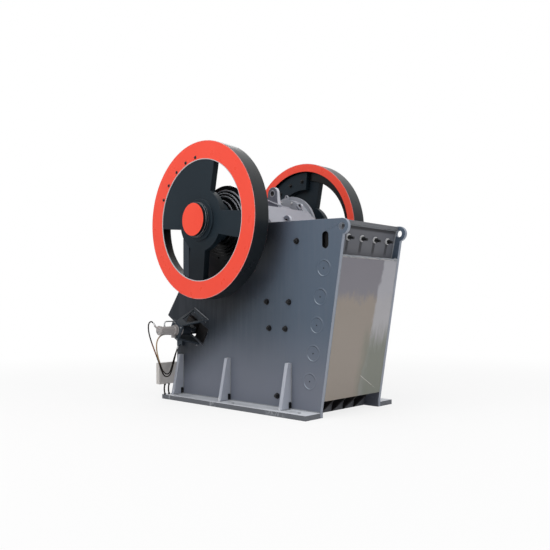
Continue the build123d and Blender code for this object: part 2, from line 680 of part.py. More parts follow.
# Flywheels
def flywheel_rim():
    """Left flywheel's rim, with a wider bore on the inboard side."""
    return turned([
        (RIM_OUTER_BORE, -WHEEL_OUTER),
        (WHEEL_RADIUS, -WHEEL_OUTER),
        (WHEEL_RADIUS, -WHEEL_INNER),
        (RIM_INNER_BORE, -WHEEL_INNER),
        (RIM_INNER_BORE, -WHEEL_STEP),
        (RIM_OUTER_BORE, -WHEEL_STEP),
    ])


def sector_face(inner, outer, start, end, y):
    """A ring sector about the shaft's axis in the plane y, from one angle to another."""
    middle = (start + end) / 2

    def at(radius, degrees):
        x, z = polar(radius, degrees)
        return x, y, z

    edge = ThreePointArc(at(outer, start), at(outer, middle), at(outer, end))
    edge += Line(at(outer, end), at(inner, end))
    edge += ThreePointArc(at(inner, end), at(inner, middle), at(inner, start))
    edge += Line(at(inner, start), at(outer, start))
    return make_face(edge)


def flywheel_web():
    """Left flywheel's spokes with one closed quadrant, and its hub."""
    web = barrel(HUB_RADIUS + HUB_DISC_STEP, -WEB_OUTER, -WEB_INNER)
    for quarter in range(SPOKE_COUNT):
        turn = SPOKE_TURN + 360 / SPOKE_COUNT * quarter
        spoke = make_face(Polyline(
            (0, 0, -SPOKE_HALF_AT_HUB), (WHEEL_RADIUS, 0, -SPOKE_HALF_AT_RIM),
            (WHEEL_RADIUS, 0, SPOKE_HALF_AT_RIM), (0, 0, SPOKE_HALF_AT_HUB), close=True))
        spoke = Rot(0, -turn, 0) * extrude(spoke, amount=WEB_THICKNESS, dir=(0, 1, 0))
        web += Pos(SHAFT_X, -WEB_OUTER, SHAFT_HEIGHT) * spoke
    web &= barrel(RIM_OUTER_BORE, -WEB_OUTER, -WEB_INNER)
    closed = sector_face(
        HUB_RADIUS, RIM_OUTER_BORE, SPOKE_TURN + 90, SPOKE_TURN + 180, -WEB_OUTER)
    web += extrude(closed, amount=WEB_THICKNESS, dir=(0, 1, 0))
    web += barrel(HUB_RADIUS, -WEB_OUTER - HUB_COLLAR, -HUB_INNER)
    web += barrel(HUB_NECK_RADIUS, -HUB_OUTER, -WEB_OUTER)
    return web - barrel(WHEEL_SEAT_RADIUS + RUNNING_CLEARANCE, -HUB_OUTER - CUT, -HUB_INNER + CUT)


def counterweight():
    """Left counterweight, an arc bolted behind the closed quadrant."""
    outer = RIM_INNER_BORE - WEIGHT_GAP
    face = sector_face(outer - WEIGHT_DEPTH, outer, WEIGHT_START_ANGLE, WEIGHT_END_ANGLE, -WEB_INNER)
    return extrude(face, amount=WEIGHT_THICKNESS, dir=(0, 1, 0))


def hub_cap():
    """Round cover over the end of the shaft."""
    return barrel(CAP_RADIUS, -CAP_OUTER, -HUB_OUTER)


# Swing jaw
def swing_jaw():
    """Cast swing jaw: barrel round the eccentric, front slab, ribs and foot."""
    top = (jaw_back(SWING_PLATE_TOP), SWING_PLATE_TOP)
    shoulder = (top[0] - SHOULDER_BACK, SHAFT_HEIGHT + SHOULDER_UP)
    bottom = (jaw_back(JAW_PLATE_BOTTOM), JAW_PLATE_BOTTOM)
    seat_top = line_point(JAW_SEAT_LINE, JAW_FOOT_DEPTH)
    seat_low = line_point(JAW_SEAT_LINE, -JAW_FOOT_DEPTH / 2)
    foot_low = (seat_low[0] + JAW_FOOT_DEPTH / 2, JAW_PLATE_BOTTOM)
    slab = [
        bottom,
        top,
        shoulder,
        (shoulder[0] - JAW_FRONT_SLAB, shoulder[1] - SHOULDER_FALL),
        (top[0] - JAW_FRONT_SLAB, top[1] - JAW_HEAD_DROP),
        (bottom[0] - JAW_FRONT_SLAB, bottom[1]),
    ]
    body = prism(slab, -JAW_HALF, JAW_HALF)
    rib = [
        bottom,
        top,
        shoulder,
        (ECC_X, ECC_Z + JAW_RIB_TOP),
        (ECC_X - JAW_RIB_ON_BARREL, ECC_Z - JAW_RIB_ON_BARREL),
        seat_top,
        seat_low,
        foot_low,
    ]
    rib_half = JAW_RIB_THICKNESS / 2
    span = BARREL_HALF - JAW_RIB_THICKNESS
    for i in range(JAW_RIB_COUNT):
        y = -span + 2 * span * i / (JAW_RIB_COUNT - 1)
        body += prism(rib, y - rib_half, y + rib_half)
    foot = [bottom, (bottom[0] - JAW_FRONT_SLAB, seat_top[1]), seat_top, seat_low, foot_low]
    body += prism(foot, -JAW_HALF, JAW_HALF)
    body += barrel(BARREL_RADIUS, -BARREL_HALF, BARREL_HALF, ECC_X, ECC_Z)
    body -= barrel(
        ECCENTRIC_RADIUS + RUNNING_CLEARANCE, -BARREL_HALF - CUT, BARREL_HALF + CUT, ECC_X, ECC_Z)
    groove = TOGGLE_THICKNESS / 2 + OPEN_PIVOT
    body -= line_box(
        JAW_SEAT_LINE - OPEN_PIVOT, JAW_SEAT_LINE + TOGGLE_SEAT_DEPTH, -groove, groove,
        -JAW_HALF - CUT, JAW_HALF + CUT)
    slot = ROD_EYE_RADIUS + OPEN_PIVOT
    slot_half = ROD_EYE_THICKNESS / 2 + OPEN_PIVOT / 2
    body -= line_box(
        JAW_SEAT_LINE - 2 * slot, JAW_SEAT_LINE + ROD_EYE_AHEAD + slot, -ROD_BELOW - slot,
        -ROD_BELOW + slot, -slot_half, slot_half)
    return body


def barrel_cap():
    """Left ring that closes the end of the swing jaw's barrel."""
    outer = -BARREL_HALF - BARREL_CAP_THICKNESS
    ring = barrel(BARREL_RADIUS - BARREL_CAP_STEP, outer, -BARREL_HALF, ECC_X, ECC_Z)
    hole = JOURNAL_RADIUS + 2 * ECCENTRICITY + SIDE_CLEARANCE / 2
    return ring - barrel(hole, outer - CUT, -BARREL_HALF + CUT, ECC_X, ECC_Z)


def jaw_ear(jaw):
    """Lifting ear on the swing jaw's head, cut to fit its casting."""
    x = SHAFT_X + JAW_EAR_FORWARD
    z = SHAFT_HEIGHT + JAW_EAR_UP
    y0 = -JAW_EAR_SIDE - JAW_EAR_THICKNESS / 2
    y1 = y0 + JAW_EAR_THICKNESS
    ear = barrel(JAW_EAR_RADIUS, y0, y1, x, z)
    base = [
        (x - JAW_EAR_RADIUS, z),
        (x + JAW_EAR_RADIUS, z),
        (x + JAW_EAR_RADIUS, ECC_Z),
        (x - JAW_EAR_RADIUS, ECC_Z),
    ]
    ear += prism(base, y0, y1)
    ear -= barrel(JAW_EAR_HOLE, y0 - CUT, y1 + CUT, x, z)
    return ear - jaw - barrel(BARREL_RADIUS, y0 - CUT, y1 + CUT, ECC_X, ECC_Z)


# Rear wall and adjusting unit
def rear_wall():
    """Sloping plate between the side plates at the rear."""
    shift = REAR_WALL / math.sin(math.radians(REAR_EDGE_SLOPE))
    outline = [
        (rear_edge(REAR_CORNER_HEIGHT), REAR_CORNER_HEIGHT),
        (rear_edge(REAR_SHOULDER_HEIGHT), REAR_SHOULDER_HEIGHT),
        (rear_edge(REAR_SHOULDER_HEIGHT) + shift, REAR_SHOULDER_HEIGHT),
        (rear_edge(REAR_CORNER_HEIGHT) + shift, REAR_CORNER_HEIGHT),
    ]
    return prism(outline, -INNER_HALF, INNER_HALF)


def meets_rear_wall(n):
    """How far along the toggle line the rear wall's inner face lies, at n above the line."""
    a = math.radians(TOGGLE_SLOPE)
    b = math.radians(REAR_EDGE_SLOPE)
    x0, z0 = line_point(0, n)
    gap = x0 - (rear_edge(z0) + REAR_WALL / math.sin(b))
    return -gap * math.sin(b) / math.sin(a + b)


def reaction_beam():
    """Beam between the side plates that takes the toggle's push."""
    low = -BEAM_WIDTH / 2
    high = BEAM_WIDTH / 2
    outline = [
        line_point(WEDGE_REAR, low),
        line_point(WEDGE_REAR, high),
        line_point(meets_rear_wall(high), high),
        line_point(meets_rear_wall(low), low),
    ]
    return prism(outline, -INNER_HALF, INNER_HALF)


def wedge(rear):
    """One adjusting wedge: the rear one has its thick end on the left, the front one on the right."""
    reach = HALF + WEDGE_OUT
    far = INNER_HALF - WEDGE_OUT
    slope = WEDGE_TAPER / (reach + far)
    thick = (WEDGE_PACK + WEDGE_TAPER + (reach - far) * slope) / 2
    thin = thick - WEDGE_TAPER
    if rear:
        stations = [(WEDGE_REAR, -reach), (WEDGE_REAR + thick, -reach),
                    (WEDGE_REAR + thin, far), (WEDGE_REAR, far)]
    else:
        stations = [(WEDGE_FRONT, reach), (WEDGE_FRONT - thick, reach),
                    (WEDGE_FRONT - thin, -far), (WEDGE_FRONT, -far)]
    width = OPENING_WIDTH - 2 * WEDGE_PLAY
    corners = []
    for s, y in stations:
        x, z = line_point(s, -width / 2)
        corners.append((x, y, z))
    a = math.radians(TOGGLE_SLOPE)
    return extrude(make_face(Polyline(*corners, close=True)), amount=width, dir=(math.sin(a), 0, math.cos(a)))


def toggle_block():
    """Sliding block between the wedges and the toggle plate, with the rear toggle seat."""
    n = TOGGLE_BLOCK_WIDTH / 2
    half = INNER_HALF - TOGGLE_BLOCK_SIDE
    block = line_box(BLOCK_REAR, BLOCK_FRONT, -n, n, -half, half)
    groove = TOGGLE_THICKNESS / 2 + SEAT_GAP
    return block - line_box(
        BLOCK_FRONT - TOGGLE_SEAT_DEPTH, BLOCK_FRONT + CUT, -groove, groove, -half - CUT, half + CUT)


def block_rails():
    """Rails on the side plates that carry the sliding block."""
    n = -TOGGLE_BLOCK_WIDTH / 2
    left = line_box(BLOCK_REAR, BLOCK_FRONT, n - RAIL_HEIGHT, n, -INNER_HALF, RAIL_DEPTH - INNER_HALF)
    return [left, mirrored(left)]


def toggle_plate():
    """Toggle plate from the sliding block to the jaw's foot, which it clears."""
    s0 = BLOCK_FRONT - TOGGLE_SEAT_DEPTH + SEAT_GAP
    s1 = JAW_SEAT_LINE + TOGGLE_SEAT_DEPTH - OPEN_PIVOT
    n = TOGGLE_THICKNESS / 2
    return line_box(s0, s1, -n, n, -TOGGLE_HALF, TOGGLE_HALF)


def bracket_plate(n_root, n_tip, thickness, border):
    """A bracket plate that leans from the side plate to the end plate, shrunk by border."""
    a = math.radians(TOGGLE_SLOPE)
    end_in = BRACKET_END - BRACKET_PLATE
    root = BRACKET_ROOT / 2 - border
    neck = BRACKET_NECK / 2 - border * BRACKET_NECK / BRACKET_ROOT
    slope = (n_tip - n_root) / (end_in - HALF)
    y_root = HALF + border
    y_tip = end_in - 2 * border
    n0 = n_root + slope * (y_root - HALF)
    n1 = n_root + slope * (y_tip - HALF)
    corners = []
    for s, y, n in [(-root, -y_root, n0), (root, -y_root, n0), (neck, -y_tip, n1), (-neck, -y_tip, n1)]:
        x, z = line_point(s, n)
        corners.append((x, y, z))
    across = (math.sin(a), 0, math.cos(a))
    return extrude(make_face(Polyline(*corners, close=True)), amount=thickness, dir=across)


def cylinder_bracket():
    """Left bracket: two tapered plates and the end plate that holds the cylinder."""
    end_in = BRACKET_END - BRACKET_PLATE
    tip = BRACKET_TIP / 2
    bracket = line_box(-tip, tip, -tip, tip, -BRACKET_END, -end_in)
    bracket -= barrel(
        CYLINDER_BODY_RADIUS + SEAT_GAP, -BRACKET_END - CUT, -end_in + CUT, *line_point(0, 0))
    bracket += bracket_plate(BRACKET_RISE - BRACKET_PLATE, tip - BRACKET_PLATE, BRACKET_PLATE, 0)
    bracket += bracket_plate(-OPENING_WIDTH / 2 - BRACKET_PLATE, -tip, BRACKET_PLATE, 0)
    hole_root = BRACKET_RISE - 2 * BRACKET_PLATE
    hole_tip = tip - 2 * BRACKET_PLATE
    return bracket - bracket_plate(hole_root, hole_tip, 3 * BRACKET_PLATE, BRACKET_HOLE_BORDER)


def fitting(end, inside, seat):
    """An elbow from a hose's end, square to it, to a seat; inside is the hose's next point."""
    start = Vector(*end)
    away = (start - Vector(*inside)).normalized()
    elbow = start + away * FITTING_RUN
    piece = rod_between(FITTING_RADIUS, tuple(start), tuple(elbow))
    piece += Pos(*elbow) * Sphere(ELBOW_RADIUS)
    return piece + rod_between(FITTING_RADIUS, tuple(elbow), seat)


def adjusting_cylinder():
    """Left hydraulic cylinder that moves a wedge, with its rod end plate and fittings."""
    x, z = line_point(0, 0)
    wedge_end = -HALF - WEDGE_OUT
    body_start = -HALF - CYLINDER_BODY_START
    body = barrel(CYLINDER_RADIUS, -CYLINDER_END, -BRACKET_END, x, z)
    body += barrel(CYLINDER_BODY_RADIUS, -BRACKET_END, body_start, x, z)
    body += barrel(
        CYLINDER_RADIUS + CYLINDER_COLLAR_STEP, -CYLINDER_END, -CYLINDER_END + CYLINDER_COLLAR, x, z)
    body += barrel(CYLINDER_RADIUS / 2, body_start, wedge_end - ROD_END_THICKNESS, x, z)
    body += line_box(
        ROD_END_FORWARD - ROD_END_LENGTH, ROD_END_FORWARD, -ROD_END_WIDTH / 2, ROD_END_WIDTH / 2,
        wedge_end - ROD_END_THICKNESS, wedge_end)
    body += fitting(HOSE_A[0], HOSE_A[1], (x, -CYLINDER_END, z))
    port = (x - PORT_BACK, -BRACKET_END - PORT_LENGTH / 2, z - PORT_DROP)
    body += Pos(*port) * Box(PORT_SIZE, PORT_LENGTH, PORT_SIZE)
    return body + fitting(HOSE_B[0], HOSE_B[1], port)


def hose_block():
    """Left block on the side plate where both hoses end, with their fittings."""
    ends = [Vector(*HOSE_A[-1]), Vector(*HOSE_B[-1])]
    x = (ends[0].X + ends[1].X) / 2
    y = -HALF - MANIFOLD_DEPTH / 2
    z = ends[0].Z + 2 * FITTING_RADIUS + MANIFOLD_HEIGHT / 2
    block = Pos(x, y, z) * Box(MANIFOLD_LENGTH, MANIFOLD_DEPTH, MANIFOLD_HEIGHT)
    for route in (HOSE_A, HOSE_B):
        block += fitting(route[-1], route[-2], (route[-1][0], y, z))
    return block


def cylinder_pipe():
    """Left bent pipe from the top of the cylinder back to the bracket's end plate."""
    x, z = line_point(0, 0)
    top = z + CYLINDER_RADIUS
    out = -BRACKET_END - CYLINDER_STANDS_OUT * 2 / 3
    high = top + 2 * PIPE_BEND
    rim = z + CYLINDER_BODY_RADIUS + 2 * FITTING_RADIUS
    path = FilletPolyline((x, out, top), (x, out, high), (x, -BRACKET_END - PIPE_BEND, high),
                          (x, -BRACKET_END, rim), radius=[PIPE_BEND - CUT, PIPE_BEND - CUT])
    start = Plane(origin=path @ 0, z_dir=path % 0)
    pipe = sweep(start * Circle(HOSE_RADIUS), path=path)
    seat = barrel(CYLINDER_RADIUS, -CYLINDER_END, -BRACKET_END, x, z)
    pipe += Pos(x, out, top) * Cylinder(FITTING_RADIUS, 2 * FITTING_RADIUS)
    wall = Pos(x, -BRACKET_END + BRACKET_TIP / 2, rim) * Box(BRACKET_TIP, BRACKET_TIP, BRACKET_TIP)
    return pipe - seat - wall


# Hoses
def arc_radii(route):
    """The radius of each arc of a route: as large as its two runs allow."""
    radii = []
    for before, here, after in zip(route, route[1:], route[2:]):
        come = Vector(*here) - Vector(*before)
        go = Vector(*after) - Vector(*here)
        half_turn = math.radians(come.get_angle(go)) / 2
        radii.append(ARC_SHARE * min(come.length, go.length) / math.tan(half_turn))
    return radii


def hose(name, route):
    """A hose along straight runs and tangent arcs, with a printed check of its radii and volume."""
    radii = arc_radii(route)
    path = FilletPolyline(*route, radius=radii)
    start = Plane(origin=path @ 0, z_dir=path % 0)
    tube = sweep(start * Circle(HOSE_RADIUS), path=path)
    expected = math.pi * HOSE_RADIUS ** 2 * path.length
    print(name, "length", round(path.length), "smallest radius", round(min(radii)),
          "volume share", round(tube.volume / expected, 4))
    return tube


# Tension rod and spring
def rod_lug():
    """Lug under the reaction beam that the tension rod passes through."""
    low = -ROD_BELOW - SPRING_RADIUS - ROD_LUG_EDGE
    front = ROD_LUG_REAR + ROD_LUG_THICKNESS
    lug = line_box(ROD_LUG_REAR, front, low, -BEAM_WIDTH / 2, -SPRING_RADIUS, SPRING_RADIUS)
    return lug - line_rod(ROD_RADIUS + ROD_CLEARANCE, ROD_LUG_REAR - CUT, front + CUT, -ROD_BELOW)


def tension_rod():
    """Rod from the jaw's foot to the spring behind the lug."""
    eye_s = JAW_SEAT_LINE + ROD_EYE_AHEAD
    plate = SPRING_REAR - SPRING_PLATE
    rod = line_rod(ROD_RADIUS, SPRING_REAR - ROD_TAIL, eye_s, -ROD_BELOW)
    x, z = line_point(eye_s, -ROD_BELOW)
    rod += barrel(ROD_EYE_RADIUS, -ROD_EYE_THICKNESS / 2, ROD_EYE_THICKNESS / 2, x, z)
    rod += line_rod(SPRING_RADIUS + SPRING_PLATE_STEP, plate, SPRING_REAR, -ROD_BELOW)
    rod += line_rod(ROD_NUT_RADIUS, plate - ROD_NUT_LENGTH, plate, -ROD_BELOW)
    return rod


def tension_spring():
    """Pressure spring between the lug and the rod's rear plate, as a plain sleeve."""
    outer = line_rod(SPRING_RADIUS, SPRING_REAR, ROD_LUG_REAR, -ROD_BELOW)
    return outer - line_rod(SPRING_BORE_RADIUS, SPRING_REAR - CUT, ROD_LUG_REAR + CUT, -ROD_BELOW)


# Connection box
def box_centre():
    """Centre of the connection box in X and Y, on the rear face of the rear left rib."""
    x = FOOT_X - RIB_BACK[-1] - RIB_THICKNESS / 2 - BOX_DEPTH / 2
    return x, -HALF - BOX_FROM_PLATE - BOX_WIDTH / 2


def connection_box():
    """Small box behind the rear left rib."""
    x, y = box_centre()
    return Pos(x, y, BOX_BOTTOM + BOX_HEIGHT / 2) * Box(BOX_DEPTH, BOX_WIDTH, BOX_HEIGHT)


def box_conduits():
    """Two short conduits from the box down to the base flange."""
    x, y = box_centre()
    height = BOX_BOTTOM - FLANGE_THICKNESS
    offset = BOX_WIDTH / 2 - CONDUIT_INSET
    pipes = []
    for side in (-offset, offset):
        pipes.append(Pos(x, y + side, FLANGE_THICKNESS + height / 2) * Cylinder(CONDUIT_RADIUS, height))
    return pipes


def write(node, *shapes):
    """One STEP file for one node, of one or more solids."""
    shape = shapes[0] if len(shapes) == 1 else Compound(children=list(shapes))
    export_step(shape, f"parts/{node}.step")


def write_pair(name, *shapes):
    """The left piece and its mirror image on the right, in two nodes."""
    write(name + "_left", *shapes)
    write(name + "_right", *[mirrored(shape) for shape in shapes])


def write_both(node, shape):
    """The left piece and its mirror image as two solids of one node."""
    write(node, shape, mirrored(shape))


os.makedirs("parts", exist_ok=True)
write_pair("side_plate", side_plate())
write_pair("base_flange", base_flange())
write_pair("side_ribs", *side_ribs())
write("front_inner_wall", inner_wall())
write("front_cover", front_cover())
write("front_ledge", front_ledge())
write("front_wall_ribs", *front_wall_ribs())
write("front_top_bar", front_top_bar())
write("clamp_bolts", *clamp_bolts())
write("fixed_jaw_plate", fixed_jaw_plate())
write_both("upper_cheek_plates", cheek_plate(CHEEK_SPLIT_HEIGHT + CHEEK_JOINT / 2, CHEEK_TOP))
write_both("lower_cheek_plates", cheek_plate(CHEEK_BOTTOM, CHEEK_SPLIT_HEIGHT - CHEEK_JOINT / 2))
write_pair("bearing_housing", bearing_housing())
write_both("seal_covers", seal_cover())
write_both("lifting_eyes", lifting_eye())
write("eccentric_shaft", eccentric_shaft())
write_pair("flywheel_rim", flywheel_rim())
write_pair("flywheel_web", flywheel_web())
write_both("counterweights", counterweight())
write_both("hub_caps", hub_cap())
jaw_casting = swing_jaw()
write("swing_jaw", jaw_casting)
write("swing_jaw_plate", swing_jaw_plate())
write_both("barrel_caps", barrel_cap())
write("jaw_lifting_ear", jaw_ear(jaw_casting))
write("rear_wall", rear_wall())
write("reaction_beam", reaction_beam())
write("rear_wedge", wedge(True))
write("front_wedge", wedge(False))
write("toggle_block", toggle_block())
write("block_rails", *block_rails())
write("toggle_plate", toggle_plate())
write_pair("cylinder_bracket", cylinder_bracket())
write_pair("adjusting_cylinder", adjusting_cylinder())
write_both("cylinder_pipes", cylinder_pipe())
write_both("hose_blocks", hose_block())
write("rod_lug", rod_lug())
write("tension_rod", tension_rod())
write("tension_spring", tension_spring())
write("connection_box", connection_box())
write("box_conduits", *box_conduits())
for letter, points in (("a", HOSE_A), ("b", HOSE_B)):
    left_hose = hose("hose " + letter, points)
    write("hose_left_" + letter, left_hose)
    write("hose_right_" + letter, mirrored(left_hose))
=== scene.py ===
"""Looks of a single toggle jaw crusher with two flywheels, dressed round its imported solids.

Metres, +Z up. +X points out of the front wall and Y runs along the eccentric shaft.
"""

from __future__ import annotations

import json
import logging
import math
import random
from abc import ABC, abstractmethod
from dataclasses import dataclass, field
from enum import Enum
from typing import Callable, Sequence, Union

import bpy
from mathutils import Matrix, Vector

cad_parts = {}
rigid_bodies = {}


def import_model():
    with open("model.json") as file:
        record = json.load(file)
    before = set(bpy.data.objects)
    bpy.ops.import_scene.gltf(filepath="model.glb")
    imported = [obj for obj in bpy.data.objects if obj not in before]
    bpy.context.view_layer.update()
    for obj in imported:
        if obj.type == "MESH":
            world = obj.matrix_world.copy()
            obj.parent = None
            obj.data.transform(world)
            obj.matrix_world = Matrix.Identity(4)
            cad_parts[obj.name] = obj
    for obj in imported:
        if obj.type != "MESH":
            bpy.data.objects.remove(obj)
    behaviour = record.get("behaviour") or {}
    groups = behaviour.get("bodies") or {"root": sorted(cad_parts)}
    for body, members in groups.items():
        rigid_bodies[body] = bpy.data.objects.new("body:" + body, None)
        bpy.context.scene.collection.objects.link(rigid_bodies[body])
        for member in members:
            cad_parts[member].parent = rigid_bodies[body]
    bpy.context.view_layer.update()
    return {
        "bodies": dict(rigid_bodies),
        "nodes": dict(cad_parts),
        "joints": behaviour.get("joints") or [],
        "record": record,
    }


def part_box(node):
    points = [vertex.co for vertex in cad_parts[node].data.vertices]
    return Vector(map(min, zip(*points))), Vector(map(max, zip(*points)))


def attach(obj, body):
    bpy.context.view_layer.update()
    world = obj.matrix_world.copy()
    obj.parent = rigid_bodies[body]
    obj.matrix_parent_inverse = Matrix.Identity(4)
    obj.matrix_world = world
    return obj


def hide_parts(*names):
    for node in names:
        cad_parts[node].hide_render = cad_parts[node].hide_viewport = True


LOG = logging.getLogger("crusher")
SEED = 20

Colour = tuple[float, float, float, float]
Point = tuple[float, float, float]
Profile = Sequence[tuple[float, float]]
Number = Union["Field", float, int]


def screen(red: int, green: int, blue: int) -> Colour:
    """A linear colour from the values that a screen shows.

    Args:
        red: Red from 0 to 255.
        green: Green from 0 to 255.
        blue: Blue from 0 to 255.

    Returns:
        The colour in linear light, opaque.
    """
    shares = (value / 255 for value in (red, green, blue))
    linear = [s / 12.92 if s <= 0.04045 else ((s + 0.055) / 1.055) ** 2.4 for s in shares]
    return (linear[0], linear[1], linear[2], 1.0)


class Side(Enum):
    """The two sides of the machine, as the sign of Y."""

    LEFT = -1
    RIGHT = 1

    @property
    def label(self) -> str:
        """The side's name in lower case."""
        return self.name.lower()


class Slot(Enum):
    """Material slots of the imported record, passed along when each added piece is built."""

    FRAME = "frame_paint"
    DARK = "dark_paint"
    JAW = "jaw_primer"
    STEEL = "machined_steel"
    CYLINDER = "cylinder_grey"
    BOX = "box_paint"
    RUBBER = "hose_rubber"


class Body(Enum):
    """Bodies that pieces ride on."""

    FRAME = "frame"
    ROTOR = "rotor"
    JAW = "swing_jaw"


# Shader graphs


class Field:
    """A socket of a shader graph that takes part in Python expressions."""

    def __init__(self, graph: Graph, socket: bpy.types.NodeSocket) -> None:
        """Keeps the graph and its socket."""
        self.graph = graph
        self.socket = socket

    def __add__(self, other: Number) -> Field:
        """Sum."""
        return self.graph.math("ADD", self, other)

    __radd__ = __add__

    def __sub__(self, other: Number) -> Field:
        """Difference."""
        return self.graph.math("SUBTRACT", self, other)

    def __rsub__(self, other: Number) -> Field:
        """Difference, with this field taken away."""
        return self.graph.math("SUBTRACT", other, self)

    def __mul__(self, other: Number) -> Field:
        """Product."""
        return self.graph.math("MULTIPLY", self, other)

    __rmul__ = __mul__

    def __pow__(self, other: Number) -> Field:
        """Power."""
        return self.graph.math("POWER", self, other)

    def __abs__(self) -> Field:
        """Size without sign."""
        return self.graph.math("ABSOLUTE", self)

    def above(self, limit: float, soft: float = 0.0005) -> Field:
        """1 where the field is over a limit and 0 under it, with a soft step.

        Args:
            limit: Middle of the step.
            soft: Half of the step's width.

        Returns:
            The mask.
        """
        settings = {"interpolation_type": "SMOOTHSTEP"}
        inputs = {"Value": self, "From Min": limit - soft, "From Max": limit + soft}
        return self.graph.make("ShaderNodeMapRange", settings, inputs)

    def below(self, limit: float, soft: float = 0.0005) -> Field:
        """1 where the field is under a limit and 0 over it, with a soft step."""
        return 1 - self.above(limit, soft)

    def most(self, other: Number) -> Field:
        """The larger of two fields."""
        return self.graph.math("MAXIMUM", self, other)

    def least(self, other: Number) -> Field:
        """The smaller of two fields."""
        return self.graph.math("MINIMUM", self, other)


class Graph:
    """A node tree that is built from expressions."""

    def __init__(self, tree: bpy.types.NodeTree) -> None:
        """Empties the tree and keeps it."""
        self.tree = tree
        tree.nodes.clear()
        self._place: Field | None = None

    def make(self, kind: str, settings: dict, inputs: dict, output: int | str = 0) -> Field:
        """Adds a node.

        Args:
            kind: The node's type.
            settings: Attributes that are set first.
            inputs: Values or fields of its sockets, by name or number.
            output: The socket that is returned.

        Returns:
            One output of the node, or its first input where it has no outputs.
        """
        node = self.tree.nodes.new(kind)
        for name, value in settings.items():
            setattr(node, name, value)
        for key, value in inputs.items():
            socket = node.inputs[key]
            if isinstance(value, Field):
                self.tree.links.new(value.socket, socket)
            else:
                socket.default_value = value
        return Field(self, node.outputs[output]) if len(node.outputs) else Field(self, node.inputs[0])

    def math(self, operation: str, first: Number, second: Number | None = None) -> Field:
        """A Math node on one or two values."""
        inputs = {0: first} if second is None else {0: first, 1: second}
        return self.make("ShaderNodeMath", {"operation": operation}, inputs)

    def dot(self, first: Field, second: Field | Point) -> Field:
        """Dot product of two vectors."""
        settings = {"operation": "DOT_PRODUCT"}
        return self.make("ShaderNodeVectorMath", settings, {0: first, 1: second}, "Value")

    @property
    def place(self) -> Field:
        """The surface point in the machine's frame at rest."""
        if self._place is None:
            self._place = self.make("ShaderNodeTexCoord", {}, {}, "Object")
        return self._place

    def axis(self, name: str) -> Field:
        """One coordinate of the surface point, X, Y or Z."""
        return self.make("ShaderNodeSeparateXYZ", {}, {0: self.place}, name)

    def facing(self, name: str) -> Field:
        """One component of the true normal in the object's frame.

        Args:
            name: X, Y or Z.

        Returns:
            The component.
        """
        normal = self.make("ShaderNodeNewGeometry", {}, {}, "True Normal")
        settings = {"vector_type": "NORMAL", "convert_from": "WORLD", "convert_to": "OBJECT"}
        turned = self.make("ShaderNodeVectorTransform", settings, {0: normal})
        return self.make("ShaderNodeSeparateXYZ", {}, {0: turned}, name)

    def along(self, direction: Point, offset: float = 0.0) -> Field:
        """Distance of the surface point along a direction, less an offset."""
        return self.dot(self.place, direction) - offset

    def radius(self, x: float, z: float) -> Field:
        """Distance of the surface point from an axis along Y."""
        return self.math("SQRT", (self.axis("X") - x) ** 2 + (self.axis("Z") - z) ** 2)

    def cloud(self, scale: float, detail: float = 4.0, stretch: Point = (1, 1, 1),
              rough: float = 0.55) -> Field:
        """Noise from about 0 to 1.

        Args:
            scale: Features per metre.
            detail: Octaves.
            stretch: Factors on the three coordinates, larger for finer features.
            rough: Weight of the fine octaves.

        Returns:
            The noise value.
        """
        spot = self.make("ShaderNodeVectorMath", {"operation": "MULTIPLY"}, {0: self.place, 1: stretch})
        inputs = {"Vector": spot, "Scale": scale, "Detail": detail, "Roughness": rough}
        return self.make("ShaderNodeTexNoise", {}, inputs, "Fac")

    def blend(self, factor: Number, first: Field | Colour, second: Field | Colour) -> Field:
        """A mix of two colours."""
        settings = {"data_type": "RGBA"}
        return self.make("ShaderNodeMix", settings, {0: factor, 6: first, 7: second}, 2)

    def edges(self, width: float, gain: float = 2.5) -> Field:
        """1 on convex and concave edges, fading to 0 at the given width.

        Args:
            width: Reach of the edge's mask.
            gain: How fast it rises to 1.

        Returns:
            The mask.
        """
        rounded = self.make("ShaderNodeBevel", {"samples": 4}, {"Radius": width})
        plain = self.make("ShaderNodeNewGeometry", {}, {}, "Normal")
        return ((1 - self.dot(rounded, plain)) * gain).least(1)

    def bump(self, height: Field, strength: float, distance: float = 0.001) -> Field:
        """A normal from a height."""
        return self.make("ShaderNodeBump", {}, {"Strength": strength, "Distance": distance, "Height": height})


def principled(name: str, dress: Callable[[Graph], dict], **fixed: float) -> bpy.types.Material:
    """A material with one Principled shader.

    Args:
        name: The material's name.
        dress: Takes the graph and returns the linked inputs by socket name.
        fixed: Constant inputs, with underscores for the spaces in the socket's name.

    Returns:
        The material.
    """
    material = bpy.data.materials.new(name)
    material.use_nodes = True
    graph = Graph(material.node_tree)
    inputs: dict = {key.replace("_", " "): value for key, value in fixed.items()}
    inputs.update(dress(graph))
    shader = graph.make("ShaderNodeBsdfPrincipled", {}, inputs)
    graph.make("ShaderNodeOutputMaterial", {}, {"Surface": shader})
    return material


# Finishes


class Finish(ABC):
    """What every finish has: a name, the strength of its shine and a material."""

    name: str
    specular: float

    @abstractmethod
    def dress(self, graph: Graph) -> dict:
        """The linked inputs of the finish's shader."""

    def build(self) -> bpy.types.Material:
        """Makes the material."""
        return principled(self.name, self.dress, Specular_IOR_Level=self.specular)


def stripes(across: Field, places: Sequence[float], half: float, soft: float) -> Field:
    """1 in bands about some places.

    Args:
        across: The coordinate that the places are read on.
        places: Middle of each band.
        half: Half of a band's width.
        soft: Half of the width over which a band fades.

    Returns:
        The mask.
    """
    bands = abs(across - places[0]).below(half, soft)
    for middle in places[1:]:
        bands = bands.most(abs(across - middle).below(half, soft))
    return bands


